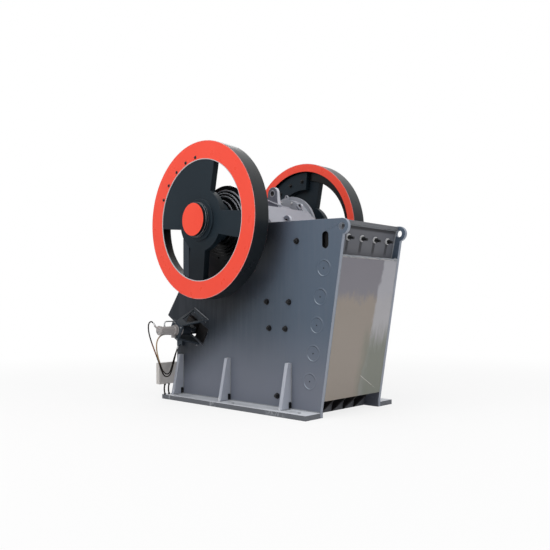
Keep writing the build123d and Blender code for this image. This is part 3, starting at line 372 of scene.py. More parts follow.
@dataclass(frozen=True)
class Paint(Finish):
    """Sprayed enamel on steel, with drift of tone, pale edges that are partly worn paint and partly painted
    highlight, dust and orange peel.
    """

    name: str
    colour: Colour
    drift: Colour
    worn: Colour
    roughness: float = 0.36
    specular: float = 0.3
    wear: float = 0.5
    edge_width: float = 0.006
    dust: float = 0.15
    dust_colour: Colour = screen(150, 146, 138)
    peel: float = 0.10

    def tone(self, graph: Graph) -> Field:
        """The paint before wear: two tones that drift into each other.

        Args:
            graph: The material's graph.

        Returns:
            The colour.
        """
        patches = graph.cloud(1.6, 3).above(0.5, 0.2)
        mottle = graph.cloud(14.0, 5)
        return graph.blend(patches * 0.7 + mottle * 0.3, self.colour, self.drift)

    def dress(self, graph: Graph) -> dict:
        """The linked inputs of the paint's shader.

        Args:
            graph: The material's graph.

        Returns:
            Fields by the socket's name.
        """
        # Pale colour on the edges: partly worn paint, partly painted highlight.
        broken = graph.cloud(60.0, 4).above(0.42, 0.16)
        edge = graph.edges(self.edge_width) * broken * self.wear
        settled = graph.facing("Z").above(0.6, 0.3) * graph.cloud(9.0, 5) * self.dust
        speckle = graph.cloud(120.0, 2).above(0.68, 0.05) * self.dust * 0.5
        base = graph.blend(settled.most(speckle), self.tone(graph), self.dust_colour)
        base = graph.blend(edge, base, self.worn)
        height = graph.cloud(420.0, 2) * 0.5 + graph.cloud(60.0, 3) * 0.5
        rough = graph.cloud(7.0, 4) * 0.16 + (self.roughness - 0.08)
        return {"Base Color": base, "Roughness": rough, "Normal": graph.bump(height, self.peel)}


def nooks(graph: Graph, ribs: Sequence[float], half: float, top: float) -> Field:
    """1 in the corners behind the ribs' corner cuts, where shade is painted.

    Args:
        graph: The material's graph.
        ribs: Places of the ribs along X.
        half: Half of a rib's thickness.
        top: Height that the painted shade reaches.

    Returns:
        The mask.
    """
    return stripes(graph.axis("X"), ribs, half, 0.002) * graph.axis("Z").below(top, 0.004)


@dataclass(frozen=True)
class SidePlatePaint(Paint):
    """The frame's paint on the side plates, with painted reflection and shade: bluer up front, warmer low
    down, a painted wheel shadow round the bearings.
    """

    # Painted reflection and shade: the middle, low and rear tones, the wheel's shadow, a dark tone for
    # corners and slot, and a light tone for the cut edges.
    middle: Colour = screen(68, 78, 90)
    low: Colour = screen(112, 117, 129)
    rear: Colour = screen(28, 33, 40)
    oil: Colour = screen(22, 26, 31)
    nook: Colour = screen(16, 17, 20)
    cut_edge: Colour = screen(150, 156, 168)
    shaft: tuple[float, float] = (0.0, 0.0)
    oil_reach: float = 0.84
    ribs: tuple[float, ...] = ()
    rib_half: float = 0.024
    nook_top: float = 0.095
    slot: tuple[float, float] = (1.131, 1.792)
    slot_reach: float = 0.11
    front: float = 0.55
    warm_top: float = 0.60
    rear_line: float = 1.02

    def tone(self, graph: Graph) -> Field:
        """Tones by place on the plate as painted reflection and shade, with painted light on the cut edges
        and painted shade in the slot and the rib corners.

        Args:
            graph: The material's graph.

        Returns:
            The colour.
        """
        x = graph.axis("X")
        z = graph.axis("Z")
        wobble = (graph.cloud(1.3, 3) - 0.5) * 0.4
        # Painted reflection: bluer up front, darker to the rear, warmer low down.
        upper = graph.blend((x + wobble).above(self.front, 0.5), self.middle, self.colour)
        face = graph.blend((z + wobble * 0.6).above(self.warm_top, 0.42), self.low, upper)
        # Painted shade low towards the rear.
        rear_shade = (z - x * 0.6 + wobble * 0.3).above(self.rear_line, 0.24)
        rear_shade = rear_shade * (x + wobble).below(0.0, 0.4)
        face = graph.blend(rear_shade * 0.92, face, self.rear)
        streaks = graph.cloud(2.0, 4, (14, 14, 1)).above(0.55, 0.2) * 0.10
        face = graph.blend(streaks, face, self.drift)
        # Painted shadow of the flywheel round the shaft.
        wheel_shadow = (graph.radius(*self.shaft) + wobble * 0.3).below(self.oil_reach, 0.2)
        face = graph.blend(wheel_shadow * 0.9, face, self.oil)
        # Painted light on the cut edges and painted shade inside the slot.
        rim = abs(graph.facing("Y")).below(0.5, 0.1)
        slot = graph.radius(*self.slot).below(self.slot_reach, 0.005)
        face = graph.blend(rim * (1 - slot) * 0.85, face, self.cut_edge)
        face = graph.blend(rim * slot, face, self.nook)
        # Painted shade in the corners behind the ribs' cuts.
        return graph.blend(nooks(graph, self.ribs, self.rib_half, self.nook_top), face, self.nook)


@dataclass(frozen=True)
class CoverPaint(Paint):
    """Glossy paint of the front cover, with painted reflections in ragged patches and a scratch."""

    # Colours of the painted reflections and where they lie.
    high: Colour = screen(123, 121, 128)
    pale: Colour = screen(170, 170, 176)
    green: Colour = screen(112, 116, 104)
    border: float = 1.22
    strip_edge: float = 0.12
    strip_lean: float = 0.10
    green_top: float = 0.80
    scratch_line: tuple[float, float, float] = (0.47, 0.88, 0.377)
    scratch_ends: tuple[float, float] = (0.07, 0.35)

    def tone(self, graph: Graph) -> Field:
        """Painted reflections by place on the cover, with ragged borders.

        Args:
            graph: The material's graph.

        Returns:
            The colour.
        """
        y = graph.axis("Y")
        z = graph.axis("Z")
        ragged = (graph.cloud(3.2, 6, (1, 2.2, 1), 0.7) - 0.5) * 0.40
        runs = (graph.cloud(3.0, 4, (9, 9, 1)) - 0.5) * 0.3
        # Painted reflections: a paler upper part, a pale strip and a green lower patch.
        base = graph.blend((z + ragged).above(self.border, 0.07), self.colour, self.high)
        strip = (y - (z - 0.4) * self.strip_lean + ragged * 0.5).above(self.strip_edge, 0.025)
        base = graph.blend(strip * 0.8, base, self.pale)
        low = (y + ragged * 0.6).above(0.08, 0.12) * (z + runs).below(self.green_top, 0.18) * 0.9
        base = graph.blend(low, base, self.green)
        across, up, offset = self.scratch_line
        start, end = self.scratch_ends
        scratch = abs(y * across + z * up - offset).below(0.0025, 0.002)
        length = y.above(start, 0.02) * y.below(end, 0.05) * graph.cloud(30.0, 2).above(0.42, 0.1)
        return graph.blend(scratch * length * 0.6, base, self.worn)

    def dress(self, graph: Graph) -> dict:
        """The paint's inputs, with the slow waves of a thin sheet in the normal.

        Args:
            graph: The material's graph.

        Returns:
            Fields by the socket's name.
        """
        inputs = super().dress(graph)
        waves = graph.cloud(5.0, 2) + graph.cloud(300.0, 2) * 0.02
        inputs["Normal"] = graph.bump(waves, 0.35, 0.01)
        return inputs


@dataclass(frozen=True)
class StreakedPaint(Paint):
    """Paint with painted shadows below a row of bolts, and a painted shadow strip under the top bar."""

    rows: tuple[float, ...] = ()
    top: float = 1.80
    length: float = 0.12
    width: float = 0.021
    shaded: float = 1.88
    # Colour of the painted shadows.
    run: Colour = screen(34, 34, 37)

    def tone(self, graph: Graph) -> Field:
        """The paint's tones under the painted shadows of the bolts and the bar.

        Args:
            graph: The material's graph.

        Returns:
            The colour.
        """
        y = graph.axis("Y")
        z = graph.axis("Z")
        wander = (graph.cloud(14.0, 3, (1, 1, 0.3)) - 0.5) * 0.02
        # Painted shadows of the clamp bolts, fading downward.
        stain = stripes(y + wander, self.rows, self.width, 0.007)
        faded = z.below(self.top, 0.01) * z.above(self.top - self.length, self.length * 0.3)
        front = graph.facing("X").above(0.5, 0.1)
        amount = faded * front * (graph.cloud(50.0, 3) * 0.5 + 0.6) * 0.85
        # Painted shadow under the top bar.
        base = graph.blend(z.above(self.shaded, 0.012) * front * 0.85, super().tone(graph), self.run)
        return graph.blend(stain * amount, base, self.run)


@dataclass(frozen=True)
class RimPaint(Paint):
    """Dark rim with its two flat faces in red, painted highlight lines at the inner corner and the outer
    edge, and painted shade inside.
    """

    red: Colour = screen(250, 84, 64)
    red_drift: Colour = screen(246, 76, 56)
    # Colours of the painted highlight on the chamfers and of the painted shade inside the rim.
    chamfer: Colour = screen(186, 200, 204)
    inside: Colour = screen(10, 11, 13)
    outboard: float = 0.931
    inboard: float = 0.734
    bore: float = 0.662
    radius: float = 0.866
    shaft: tuple[float, float] = (0.0, 0.0)

    def tone(self, graph: Graph) -> Field:
        """Red on the flat faces, the dark paint on the outer surface, painted shade inside and painted
        highlights on the chamfers.

        Args:
            graph: The material's graph.

        Returns:
            The colour.
        """
        reach = abs(graph.axis("Y"))
        flat = reach.above(self.outboard - 0.0012, 0.0004).most(reach.below(self.inboard + 0.0012, 0.0004))
        red = graph.blend(graph.cloud(2.4, 3), self.red, self.red_drift)
        ring = graph.radius(*self.shaft)
        # Painted shade on every surface inside the outer one.
        dark = graph.blend(ring.below(self.radius - 0.02, 0.005), super().tone(graph), self.inside)
        base = graph.blend(flat, dark, red)
        # Painted highlight lines along the red faces' inner and outer edges.
        inner = ring.below(self.bore + 0.009, 0.001) * reach.above(self.outboard - 0.008, 0.002)
        outer = ring.above(self.radius - 0.006, 0.001) * flat
        broken = graph.cloud(12.0, 3).above(0.4, 0.15)
        return graph.blend(inner.most(outer * broken * 0.6) * 0.85, base, self.chamfer)


@dataclass(frozen=True)
class WheelPaint(Paint):
    """Satin paint of the webs, with painted shade on the lower spokes."""

    # Colour and height of the painted shade on the lower spokes.
    oiled: Colour = screen(13, 18, 23)
    below: float = 1.7

    def tone(self, graph: Graph) -> Field:
        """The paint's tones, with painted shade under a height."""
        return graph.blend(graph.axis("Z").below(self.below, 0.22) * 0.75, super().tone(graph), self.oiled)


@dataclass(frozen=True)
class SplitPaint(Paint):
    """One paint outboard of a border on each side, and another between the borders."""

    within: Colour = screen(150, 154, 162)
    border: float = 0.52
    far_border: float = 0.556

    def tone(self, graph: Graph) -> Field:
        """Two paints with a border on each side.

        Args:
            graph: The material's graph.

        Returns:
            The colour.
        """
        y = graph.axis("Y")
        inside = y.above(-self.border, 0.004) * y.below(self.far_border, 0.004)
        return graph.blend(inside, super().tone(graph), self.within)


@dataclass(frozen=True)
class FlangePaint(Paint):
    """Base flange and ribs in a lighter copy of the frame paint as painted light, paler tops, painted shade
    on edges and corners, chipped round the ribs' feet.
    """

    # Colours of the painted light on the tops and of the painted shade on the edge faces and in the corners;
    # the chips are bare metal.
    top: Colour = screen(226, 229, 235)
    edge: Colour = screen(100, 103, 109)
    chipped: Colour = screen(222, 224, 228)
    nook: Colour = screen(16, 17, 20)
    foot: float = 0.085
    chip_reach: float = 0.11
    flange_top: float = 0.027
    root: float = 0.565
    ribs: tuple[float, ...] = ()
    rib_half: float = 0.024
    nook_top: float = 0.095

    def tone(self, graph: Graph) -> Field:
        """The paint's tones, with painted light where it faces up, painted shade on the edge faces, and
        chipped low down.

        Args:
            graph: The material's graph.

        Returns:
            The colour.
        """
        z = graph.axis("Z")
        up = graph.facing("Z").above(0.75, 0.15)
        # Painted light on up-facing faces and painted shade on the flange's edge faces.
        base = graph.blend(up * (graph.cloud(8.0, 4) * 0.5 + 0.7).least(1), super().tone(graph), self.top)
        side = (1 - up) * z.below(self.flange_top, 0.001)
        base = graph.blend(side, base, self.edge)
        near = stripes(graph.axis("X"), self.ribs, self.chip_reach, 0.06)
        chips = graph.cloud(16.0, 5, (1, 1, 0.6)).above(0.56, 0.05) * z.below(self.foot, 0.03) * near
        base = graph.blend(chips * (1 - side * 0.7) * 0.8, base, self.chipped)
        # Painted shade in the corners behind the ribs' cuts.
        inboard = abs(graph.axis("Y")).below(self.root, 0.003)
        return graph.blend(nooks(graph, self.ribs, self.rib_half, self.nook_top) * inboard, base, self.nook)


@dataclass(frozen=True)
class SealPaint(Paint):
    """Black seal rings with painted highlights along their outer edges above the shaft."""

    # Colour of the painted highlights.
    rubbed: Colour = screen(200, 204, 212)
    shaft: tuple[float, float] = (0.0, 0.0)
    steps: tuple[float, ...] = ()
    land: float = 0.0075

    def tone(self, graph: Graph) -> Field:
        """Black, with a painted highlight along the outer edge of each ring.

        Args:
            graph: The material's graph.

        Returns:
            The colour.
        """
        edges = [step - self.land for step in self.steps]
        # Painted highlight along each ring's outer edge, on flat faces above the shaft, broken by noise.
        line = stripes(graph.radius(*self.shaft), edges, self.land, 0.001)
        over = (graph.axis("Z") - self.shaft[1]).above(0.02, 0.12)
        flat = abs(graph.facing("Y")).above(0.3, 0.1)
        worn = graph.cloud(12.0, 3).above(0.30, 0.25)
        return graph.blend(line * flat * over * worn * 0.85, super().tone(graph), self.rubbed)


@dataclass(frozen=True)
class PlugPaint(SidePlatePaint):
    """The side plate's paint on a plug weld's ring, with painted light where it faces up and painted shade
    where it faces down.
    """

    # Colours of the painted light and painted shade.
    pale: Colour = screen(150, 162, 174)
    shade: Colour = screen(34, 39, 46)

    def tone(self, graph: Graph) -> Field:
        """The plate's paint, with painted light and painted shade on the slopes.

        Args:
            graph: The material's graph.

        Returns:
            The colour.
        """
        slope = graph.facing("Z") * 0.8 + graph.facing("X") * 0.6
        base = graph.blend(slope.above(0.38, 0.08) * 0.8, super().tone(graph), self.pale)
        return graph.blend(slope.below(-0.34, 0.08) * 0.85, base, self.shade)


@dataclass(frozen=True)
class FacePaint(Paint):
    """One paint on the faces that look along Y and another on the edges."""

    side: Colour = screen(20, 23, 27)

    def tone(self, graph: Graph) -> Field:
        """The face's paint, with the side's round it."""
        edge = abs(graph.facing("Y")).below(0.6, 0.1)
        return graph.blend(edge, super().tone(graph), self.side)


@dataclass(frozen=True)
class CastSteel(Finish):
    """Rough cast steel with brown scale and bright rubbed crests."""

    name: str
    colour: Colour = screen(84, 80, 77)
    scale: Colour = screen(104, 82, 66)
    bright: Colour = screen(146, 146, 148)
    rubbed: float = 0.5
    relief: float = 0.5
    # Past this distance from the middle plane the steel is painted black as shade.
    back: float = 10.0
    black: Colour = screen(12, 12, 13)
    specular: float = 0.35

    def dress(self, graph: Graph) -> dict:
        """The linked inputs of the steel's shader, with painted shade in black past a given distance from the
        middle plane.

        Args:
            graph: The material's graph.

        Returns:
            Fields by the socket's name.
        """
        rust = graph.cloud(5.0, 6, rough=0.65).above(0.52, 0.12) * 0.75
        # Painted shade past the given distance.
        behind = abs(graph.axis("Y")).above(self.back, 0.001)
        base = graph.blend(behind, graph.blend(rust, self.colour, self.scale), self.black)
        rubbed = graph.edges(0.012) * graph.cloud(24.0, 3).above(0.4, 0.2) * self.rubbed
        base = graph.blend(rubbed, base, self.bright)
        height = graph.cloud(90.0, 6, rough=0.7) + graph.cloud(16.0, 3) * 1.5
        return {
            "Base Color": base,
            "Roughness": 0.72 - rubbed * 0.4,
            "Metallic": rubbed * 0.8 + 0.25,
            "Normal": graph.bump(height, self.relief, 0.002),
        }


@dataclass(frozen=True)
class BareSteel(Finish):
    """Turned, drawn or plated steel."""

    name: str
    colour: Colour = screen(176, 178, 182)
    stain: Colour = screen(120, 112, 102)
    roughness: float = 0.32
    metallic: float = 0.9
    soiled: float = 0.4
    specular: float = 0.5

    def dress(self, graph: Graph) -> dict:
        """The linked inputs of the steel's shader.

        Args:
            graph: The material's graph.

        Returns:
            Fields by the socket's name.
        """
        soil = graph.cloud(22.0, 5).above(0.5, 0.2) * self.soiled
        lines = graph.cloud(30.0, 3, (20, 2, 20))
        return {
            "Base Color": graph.blend(soil, self.colour, self.stain),
            "Roughness": soil * 0.35 + (self.roughness - 0.03) + lines * 0.06,
            "Metallic": self.metallic - soil * 0.5,
            "Normal": graph.bump(lines + graph.cloud(200.0, 3), 0.06),
        }


@dataclass(frozen=True)
class ClampBoltFinish(BareSteel):
    """Washers near white, partly bright steel and partly painted highlight, and blackened nuts and studs
    above them.
    """

    black: Colour = screen(26, 27, 29)
    out: Point = (1.0, 0.0, 0.0)
    wall: float = 0.0
    washer: float = 0.0125

    def dress(self, graph: Graph) -> dict:
        """The steel's inputs, dark past the washer.

        Args:
            graph: The material's graph.

        Returns:
            Fields by the socket's name.
        """
        inputs = super().dress(graph)
        dark = graph.along(self.out, self.wall).above(self.washer, 0.0005)
        inputs["Base Color"] = graph.blend(dark, inputs["Base Color"], self.black)
        inputs["Metallic"] = inputs["Metallic"] * (1 - dark * 0.8)
        return inputs


@dataclass(frozen=True)
class Rubber(Finish):
    """Hose cover: matt black with fine wrap marks, on some hoses with a worn tan stretch."""

    name: str
    colour: Colour = screen(13, 12, 12)
    tan: Colour = screen(172, 104, 48)
    worn: float = 0.0
    stretch: tuple[float, float] = (0.50, 0.72)
    outside: float = 0.95
    specular: float = 0.15

    def dress(self, graph: Graph) -> dict:
        """The linked inputs of the rubber's shader.

        Args:
            graph: The material's graph.

        Returns:
            Fields by the socket's name.
        """
        z = graph.axis("Z")
        middle = (self.stretch[0] + self.stretch[1]) / 2
        half = (self.stretch[1] - self.stretch[0]) / 2
        rubbed = abs(z - middle).below(half, 0.06) * (graph.cloud(12.0, 3) * 0.5 + 0.6) * self.worn
        rubbed = rubbed * abs(graph.axis("Y")).above(self.outside, 0.03)
        dusty = graph.cloud(40.0, 4).above(0.55, 0.15) * 0.05
        base = graph.blend(rubbed.most(dusty), self.colour, self.tan)
        wrap = graph.cloud(160.0, 2, (1, 1, 6))
        return {"Base Color": base, "Roughness": 0.5 + rubbed * 0.2, "Normal": graph.bump(wrap, 0.3)}


# Mesh building


def frame_at(origin: Point | Vector, axis: Point | Vector, turn: float = 0.0) -> Matrix:
    """A local frame whose Z runs along an axis.

    Args:
        origin: Where it stands.
        axis: Direction of its Z.
        turn: Turn about that axis, in degrees.

    Returns:
        The frame's matrix.
    """
    rotation = Vector(axis).to_track_quat("Z", "Y").to_matrix().to_4x4()
    return Matrix.Translation(Vector(origin)) @ rotation @ Matrix.Rotation(math.radians(turn), 4, "Z")


def stand(name: str, data: bpy.types.ID) -> bpy.types.Object:
    """A new object in the scene.

    Args:
        name: The object's name.
        data: Its mesh, curve, camera or lamp.

    Returns:
        The object.
    """
    thing = bpy.data.objects.new(name, data)
    bpy.context.scene.collection.objects.link(thing)
    return thing


def aim(thing: bpy.types.Object, ahead: Vector) -> None:
    """Turns a camera or a lamp to look along a direction."""
    thing.rotation_mode = "QUATERNION"
    thing.rotation_quaternion = ahead.to_track_quat("-Z", "Y")


def coat(mesh: bpy.types.Mesh, material: bpy.types.Material) -> None:
    """Gives every face of a mesh one material.

    Args:
        mesh: The mesh.
        material: Its only material.
    """
    mesh.materials.clear()
    mesh.materials.append(material)
    for polygon in mesh.polygons:
        polygon.material_index = 0


class Shape:
    """A mesh under construction, in the machine's frame."""

    def __init__(self) -> None:
        """Starts with nothing."""
        self.points: list[Vector] = []
        self.faces: list[tuple[int, ...]] = []

    def _ring(self, points: Sequence[Vector]) -> list[int]:
        """Adds points and returns their numbers.

        Args:
            points: The ring's points.

        Returns:
            Their numbers.
        """
        first = len(self.points)
        self.points.extend(points)
        return list(range(first, first + len(points)))

    def _join(self, low: list[int], high: list[int]) -> None:
        """Adds faces between two closed rings, either of which may be one point."""
        count = max(len(low), len(high))
        for i in range(count):
            j = (i + 1) % count
            if len(low) == 1:
                self.faces.append((low[0], high[j], high[i]))
            elif len(high) == 1:
                self.faces.append((low[i], low[j], high[0]))
            else:
                self.faces.append((low[i], low[j], high[j], high[i]))

    def lathe(self, profile: Profile, frame: Matrix, sides: int = 24, closed: bool = False) -> Shape:
        """Turns a profile about a frame's Z.

        Args:
            profile: Radius and height of each point, in the order that makes faces look outward.
            frame: The local frame.
            sides: Facets round the axis; 6 makes a hexagon.
            closed: Whether the last point joins the first, as on a ring.

        Returns:
            This shape.
        """
        rings = []
        for radius, height in profile:
            if radius < 1e-9:
                rings.append(self._ring([frame @ Vector((0, 0, height))]))
                continue
            turns = (2 * math.pi * i / sides for i in range(sides))
            around = [frame @ Vector((radius * math.cos(a), radius * math.sin(a), height)) for a in turns]
            rings.append(self._ring(around))
        for low, high in zip(rings, rings[1:]):
            self._join(low, high)
        if closed:
            self._join(rings[-1], rings[0])
        return self

    def tube(self, line: Sequence[Vector], radii: Sequence[float], sides: int = 8) -> Shape:
        """Sweeps a circle along a line, with closed ends.

        Args:
            line: Points of the centre line.
            radii: Radius at each point.
            sides: Facets round the line.

        Returns:
            This shape.
        """
        heading = (line[1] - line[0]).normalized()
        side = heading.orthogonal().normalized()
        rings = []
        for i, centre in enumerate(line):
            ahead = line[min(i + 1, len(line) - 1)] - line[max(i - 1, 0)]
            if ahead.length > 1e-9:
                heading = ahead.normalized()
            side = (side - heading * side.dot(heading)).normalized()
            up = heading.cross(side)
            turns = (2 * math.pi * k / sides for k in range(sides))
            around = [centre + (side * math.cos(a) + up * math.sin(a)) * radii[i] for a in turns]
            rings.append(self._ring(around))
        for low, high in zip(rings, rings[1:]):
            self._join(low, high)
        self.faces.append(tuple(reversed(rings[0])))
        self.faces.append(tuple(rings[-1]))
        return self

    def eye_plate(self, frame: Matrix, hole: float, reach: Callable[[float], float], half: float,
                  chamfer: float, sides: int = 64) -> Shape:
        """A plate with a round hole, square to a frame's Z.

        Args:
            frame: The local frame, with its origin in the middle of the hole.
            hole: The hole's radius.
            reach: Distance from the hole's centre to the outline at an angle from the frame's X.
            half: Half of the plate's thickness.
            chamfer: Width of the chamfers round the outline and the hole.
            sides: Points round the plate.

        Returns:
            This shape.
        """
        angles = [2 * math.pi * i / sides for i in range(sides)]
        inner = half - chamfer
        rows = ((True, 0.0, inner), (True, chamfer, half), (False, -chamfer, half), (False, 0.0, inner),
                (False, 0.0, -inner), (False, -chamfer, -half), (True, chamfer, -half), (True, 0.0, -inner))
        rings = []
        for on_hole, grow, height in rows:
            points = []
            for a in angles:
                r = (hole if on_hole else reach(a)) + grow
                points.append(frame @ Vector((r * math.cos(a), r * math.sin(a), height)))
            rings.append(self._ring(points))
        for low, high in zip(rings, rings[1:] + rings[:1]):
            self._join(high, low)
        return self

    def slab(self, outline: Sequence[Vector], through: Vector, rounding: float = 0.0) -> Shape:
        """Extrudes a flat outline, optionally with a small bevel on the far side.

        Args:
            outline: Corners of one face.
            through: The way from that face to the far one.
            rounding: Width of the bevel.

        Returns:
            This shape.
        """
        middle = sum(outline, Vector()) / len(outline)
        low = self._ring([p.copy() for p in outline])
        step = through.normalized() * rounding
        high = self._ring([p + through - step for p in outline])
        self._join(low, high)
        top = high
        if rounding:
            inset = [p + through + (middle - p).normalized() * rounding for p in outline]
            top = self._ring(inset)
            self._join(high, top)
        self.faces.append(tuple(reversed(low)))
        self.faces.append(tuple(top))
        return self

    def bolt(self, seat: Point | Vector, axis: Point | Vector, size: BoltSize, turn: float = 0.0) -> Shape:
        """A hexagon bolt or nut with its washer and, if it has one, its stud end.

        Args:
            seat: Middle of the washer's or the head's underside.
            axis: The way that the bolt points.
            size: The bolt's sizes.
            turn: Turn about its axis, in degrees.

        Returns:
            This shape.
        """
        frame = frame_at(seat, axis, turn)
        washer, lift = size.washer, 0.0
        if washer > 0:
            lift = size.washer_height
            edge = washer - lift * 0.3
            self.lathe([(0, 0), (washer, 0), (washer, lift * 0.7), (edge, lift), (0, lift)], frame)
        top = lift + size.height
        corner = top - size.height * 0.12
        head = [(0, lift), (size.radius, lift), (size.radius, corner), (size.radius * 0.87, top), (0, top)]
        self.lathe(head, frame, 6)
        if size.stud > 0:
            end = top + size.stud
            tip = size.stud_radius * 0.8
            shoulder = end - size.stud * 0.2
            stud = [(0, top), (size.stud_radius, top), (size.stud_radius, shoulder), (tip, end), (0, end)]
            self.lathe(stud, frame, 16)
        return self

    def bead(self, ends: Sequence[Vector], radius: float, rng: random.Random) -> Shape:
        """A weld bead with its ripples along straight runs between points.

        Args:
            ends: Points that the bead runs between.
            radius: Mean radius of the bead.
            rng: Source of the ripples.

        Returns:
            This shape.
        """
        pitch = radius * 0.75
        for start, end in zip(ends, ends[1:]):
            run = end - start
            count = max(2, round(run.length / pitch))
            line = [start + run * (i / count) for i in range(count + 1)]
            radii = []
            for i in range(count + 1):
                swell = 1.12 if i % 2 else 0.94
                radii.append(radius * swell * rng.uniform(0.95, 1.06))
            self.tube(line, radii, 6)
        return self

    def build(self, name: str, material: bpy.types.Material, body: Body, slot: Slot,
              smooth: float = 38.0) -> bpy.types.Object:
        """Turns the shape into a piece that rides on a body.

        Args:
            name: The piece's name.
            material: Its material.
            body: The body that it rides on.
            slot: The record's slot that it belongs to; not used.
            smooth: Edges under this angle, in degrees, are shaded smooth.

        Returns:
            The object.
        """
        mesh = bpy.data.meshes.new(name)
        mesh.from_pydata([tuple(p) for p in self.points], [], self.faces)
        mesh.polygons.foreach_set("use_smooth", [True] * len(mesh.polygons))
        mesh.update()
        mesh.set_sharp_from_angle(angle=math.radians(smooth))
        mesh.materials.append(material)
        piece = stand(name, mesh)
        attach(piece, body.value)
        LOG.info("%s: %d faces on %s", name, len(self.faces), body.value)
        return piece


@dataclass(frozen=True)
class BoltSize:
    """Sizes of one kind of bolt."""

    radius: float
    height: float
    washer: float = 0.0
    washer_height: float = 0.003
    stud: float = 0.0
    stud_radius: float = 0.0


@dataclass
class Layout:
    """Sizes and places that several sub-assemblies share; those without a default are measured."""

    half: float
    plate: float
    foot: float
    rear: float
    flange_top: float
    shaft_x: float
    shaft_z: float
    wheel_radius: float
    wheel_outer: float
    wheel_inner: float
    clamp_height: float
    bar_foot: float
    seal_root: float
    wheel_bore: float = 0.662
    front_lean: float = 9.1
    foot_rise: float = 0.075
    wall_lean: float = 12.5
    wall_set_back: float = 0.197
    toggle_slope: float = 29.0
    opening_back: float = 1.938
    opening_height: float = 0.842
    rib_backs: tuple[float, ...] = (0.416, 1.350, 2.194)
    seal_steps: tuple[tuple[float, float], ...] = (
        (0.372, 0.014), (0.338, 0.034), (0.304, 0.046), (0.252, 0.084))

    @classmethod
    def measure(cls) -> Layout:
        """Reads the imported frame.

        Returns:
            The layout.
        """
        low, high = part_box("side_plate_left")
        base_low, base_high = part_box("base_flange_left")
        rim_low, rim_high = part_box("flywheel_rim_left")
        centre = (rim_low + rim_high) / 2
        housing_low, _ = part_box("bearing_housing_left")
        clamp_low, clamp_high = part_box("clamp_bolts")
        bar_low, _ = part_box("front_top_bar")
        return cls(
            seal_root=-housing_low.y, clamp_height=(clamp_low.z + clamp_high.z) / 2, bar_foot=bar_low.z,
            half=-low.y, plate=high.y - low.y, foot=base_high.x, rear=base_low.x, flange_top=base_high.z,
            shaft_x=centre.x, shaft_z=centre.z, wheel_radius=(rim_high.z - rim_low.z) / 2,
            wheel_outer=-rim_low.y, wheel_inner=-rim_high.y)

    @property
    def inner(self) -> float:
        """Inner face of the side plates."""
        return self.half - self.plate

    def front_edge(self, z: float) -> float:
        """Front edge of the side plates at a height."""
        return self.foot + max(0.0, z - self.foot_rise) * math.tan(math.radians(self.front_lean))

    def wall_face(self, z: float) -> float:
        """Front face of the leaning inner wall at a height."""
        return self.foot - self.wall_set_back + z * math.tan(math.radians(self.wall_lean))

    def line(self, s: float, n: float, y: float = 0.0) -> Vector:
        """A point along the toggle line and above it, at a place across the machine.

        Args:
            s: Distance along the toggle line.
            n: Distance above it.
            y: Place across the machine.

        Returns:
            The point.
        """
        a = math.radians(self.toggle_slope)
        x = self.foot - self.opening_back + s * math.cos(a) + n * math.sin(a)
        return Vector((x, y, self.opening_height - s * math.sin(a) + n * math.cos(a)))

    def line_axes(self) -> tuple[Vector, Vector]:
        """Unit vectors along the toggle line and square to it."""
        a = math.radians(self.toggle_slope)
        return Vector((math.cos(a), 0, -math.sin(a))), Vector((math.sin(a), 0, math.cos(a)))

    def ribs(self) -> tuple[float, ...]:
        """Places of the side ribs along X."""
        return tuple(self.foot - back for back in self.rib_backs)

    def polar(self, radius: float, degrees: float, y: float) -> Vector:
        """A point about the shaft's axis, angle from +X towards +Z."""
        a = math.radians(degrees)
        return Vector((self.shaft_x + radius * math.cos(a), y, self.shaft_z + radius * math.sin(a)))


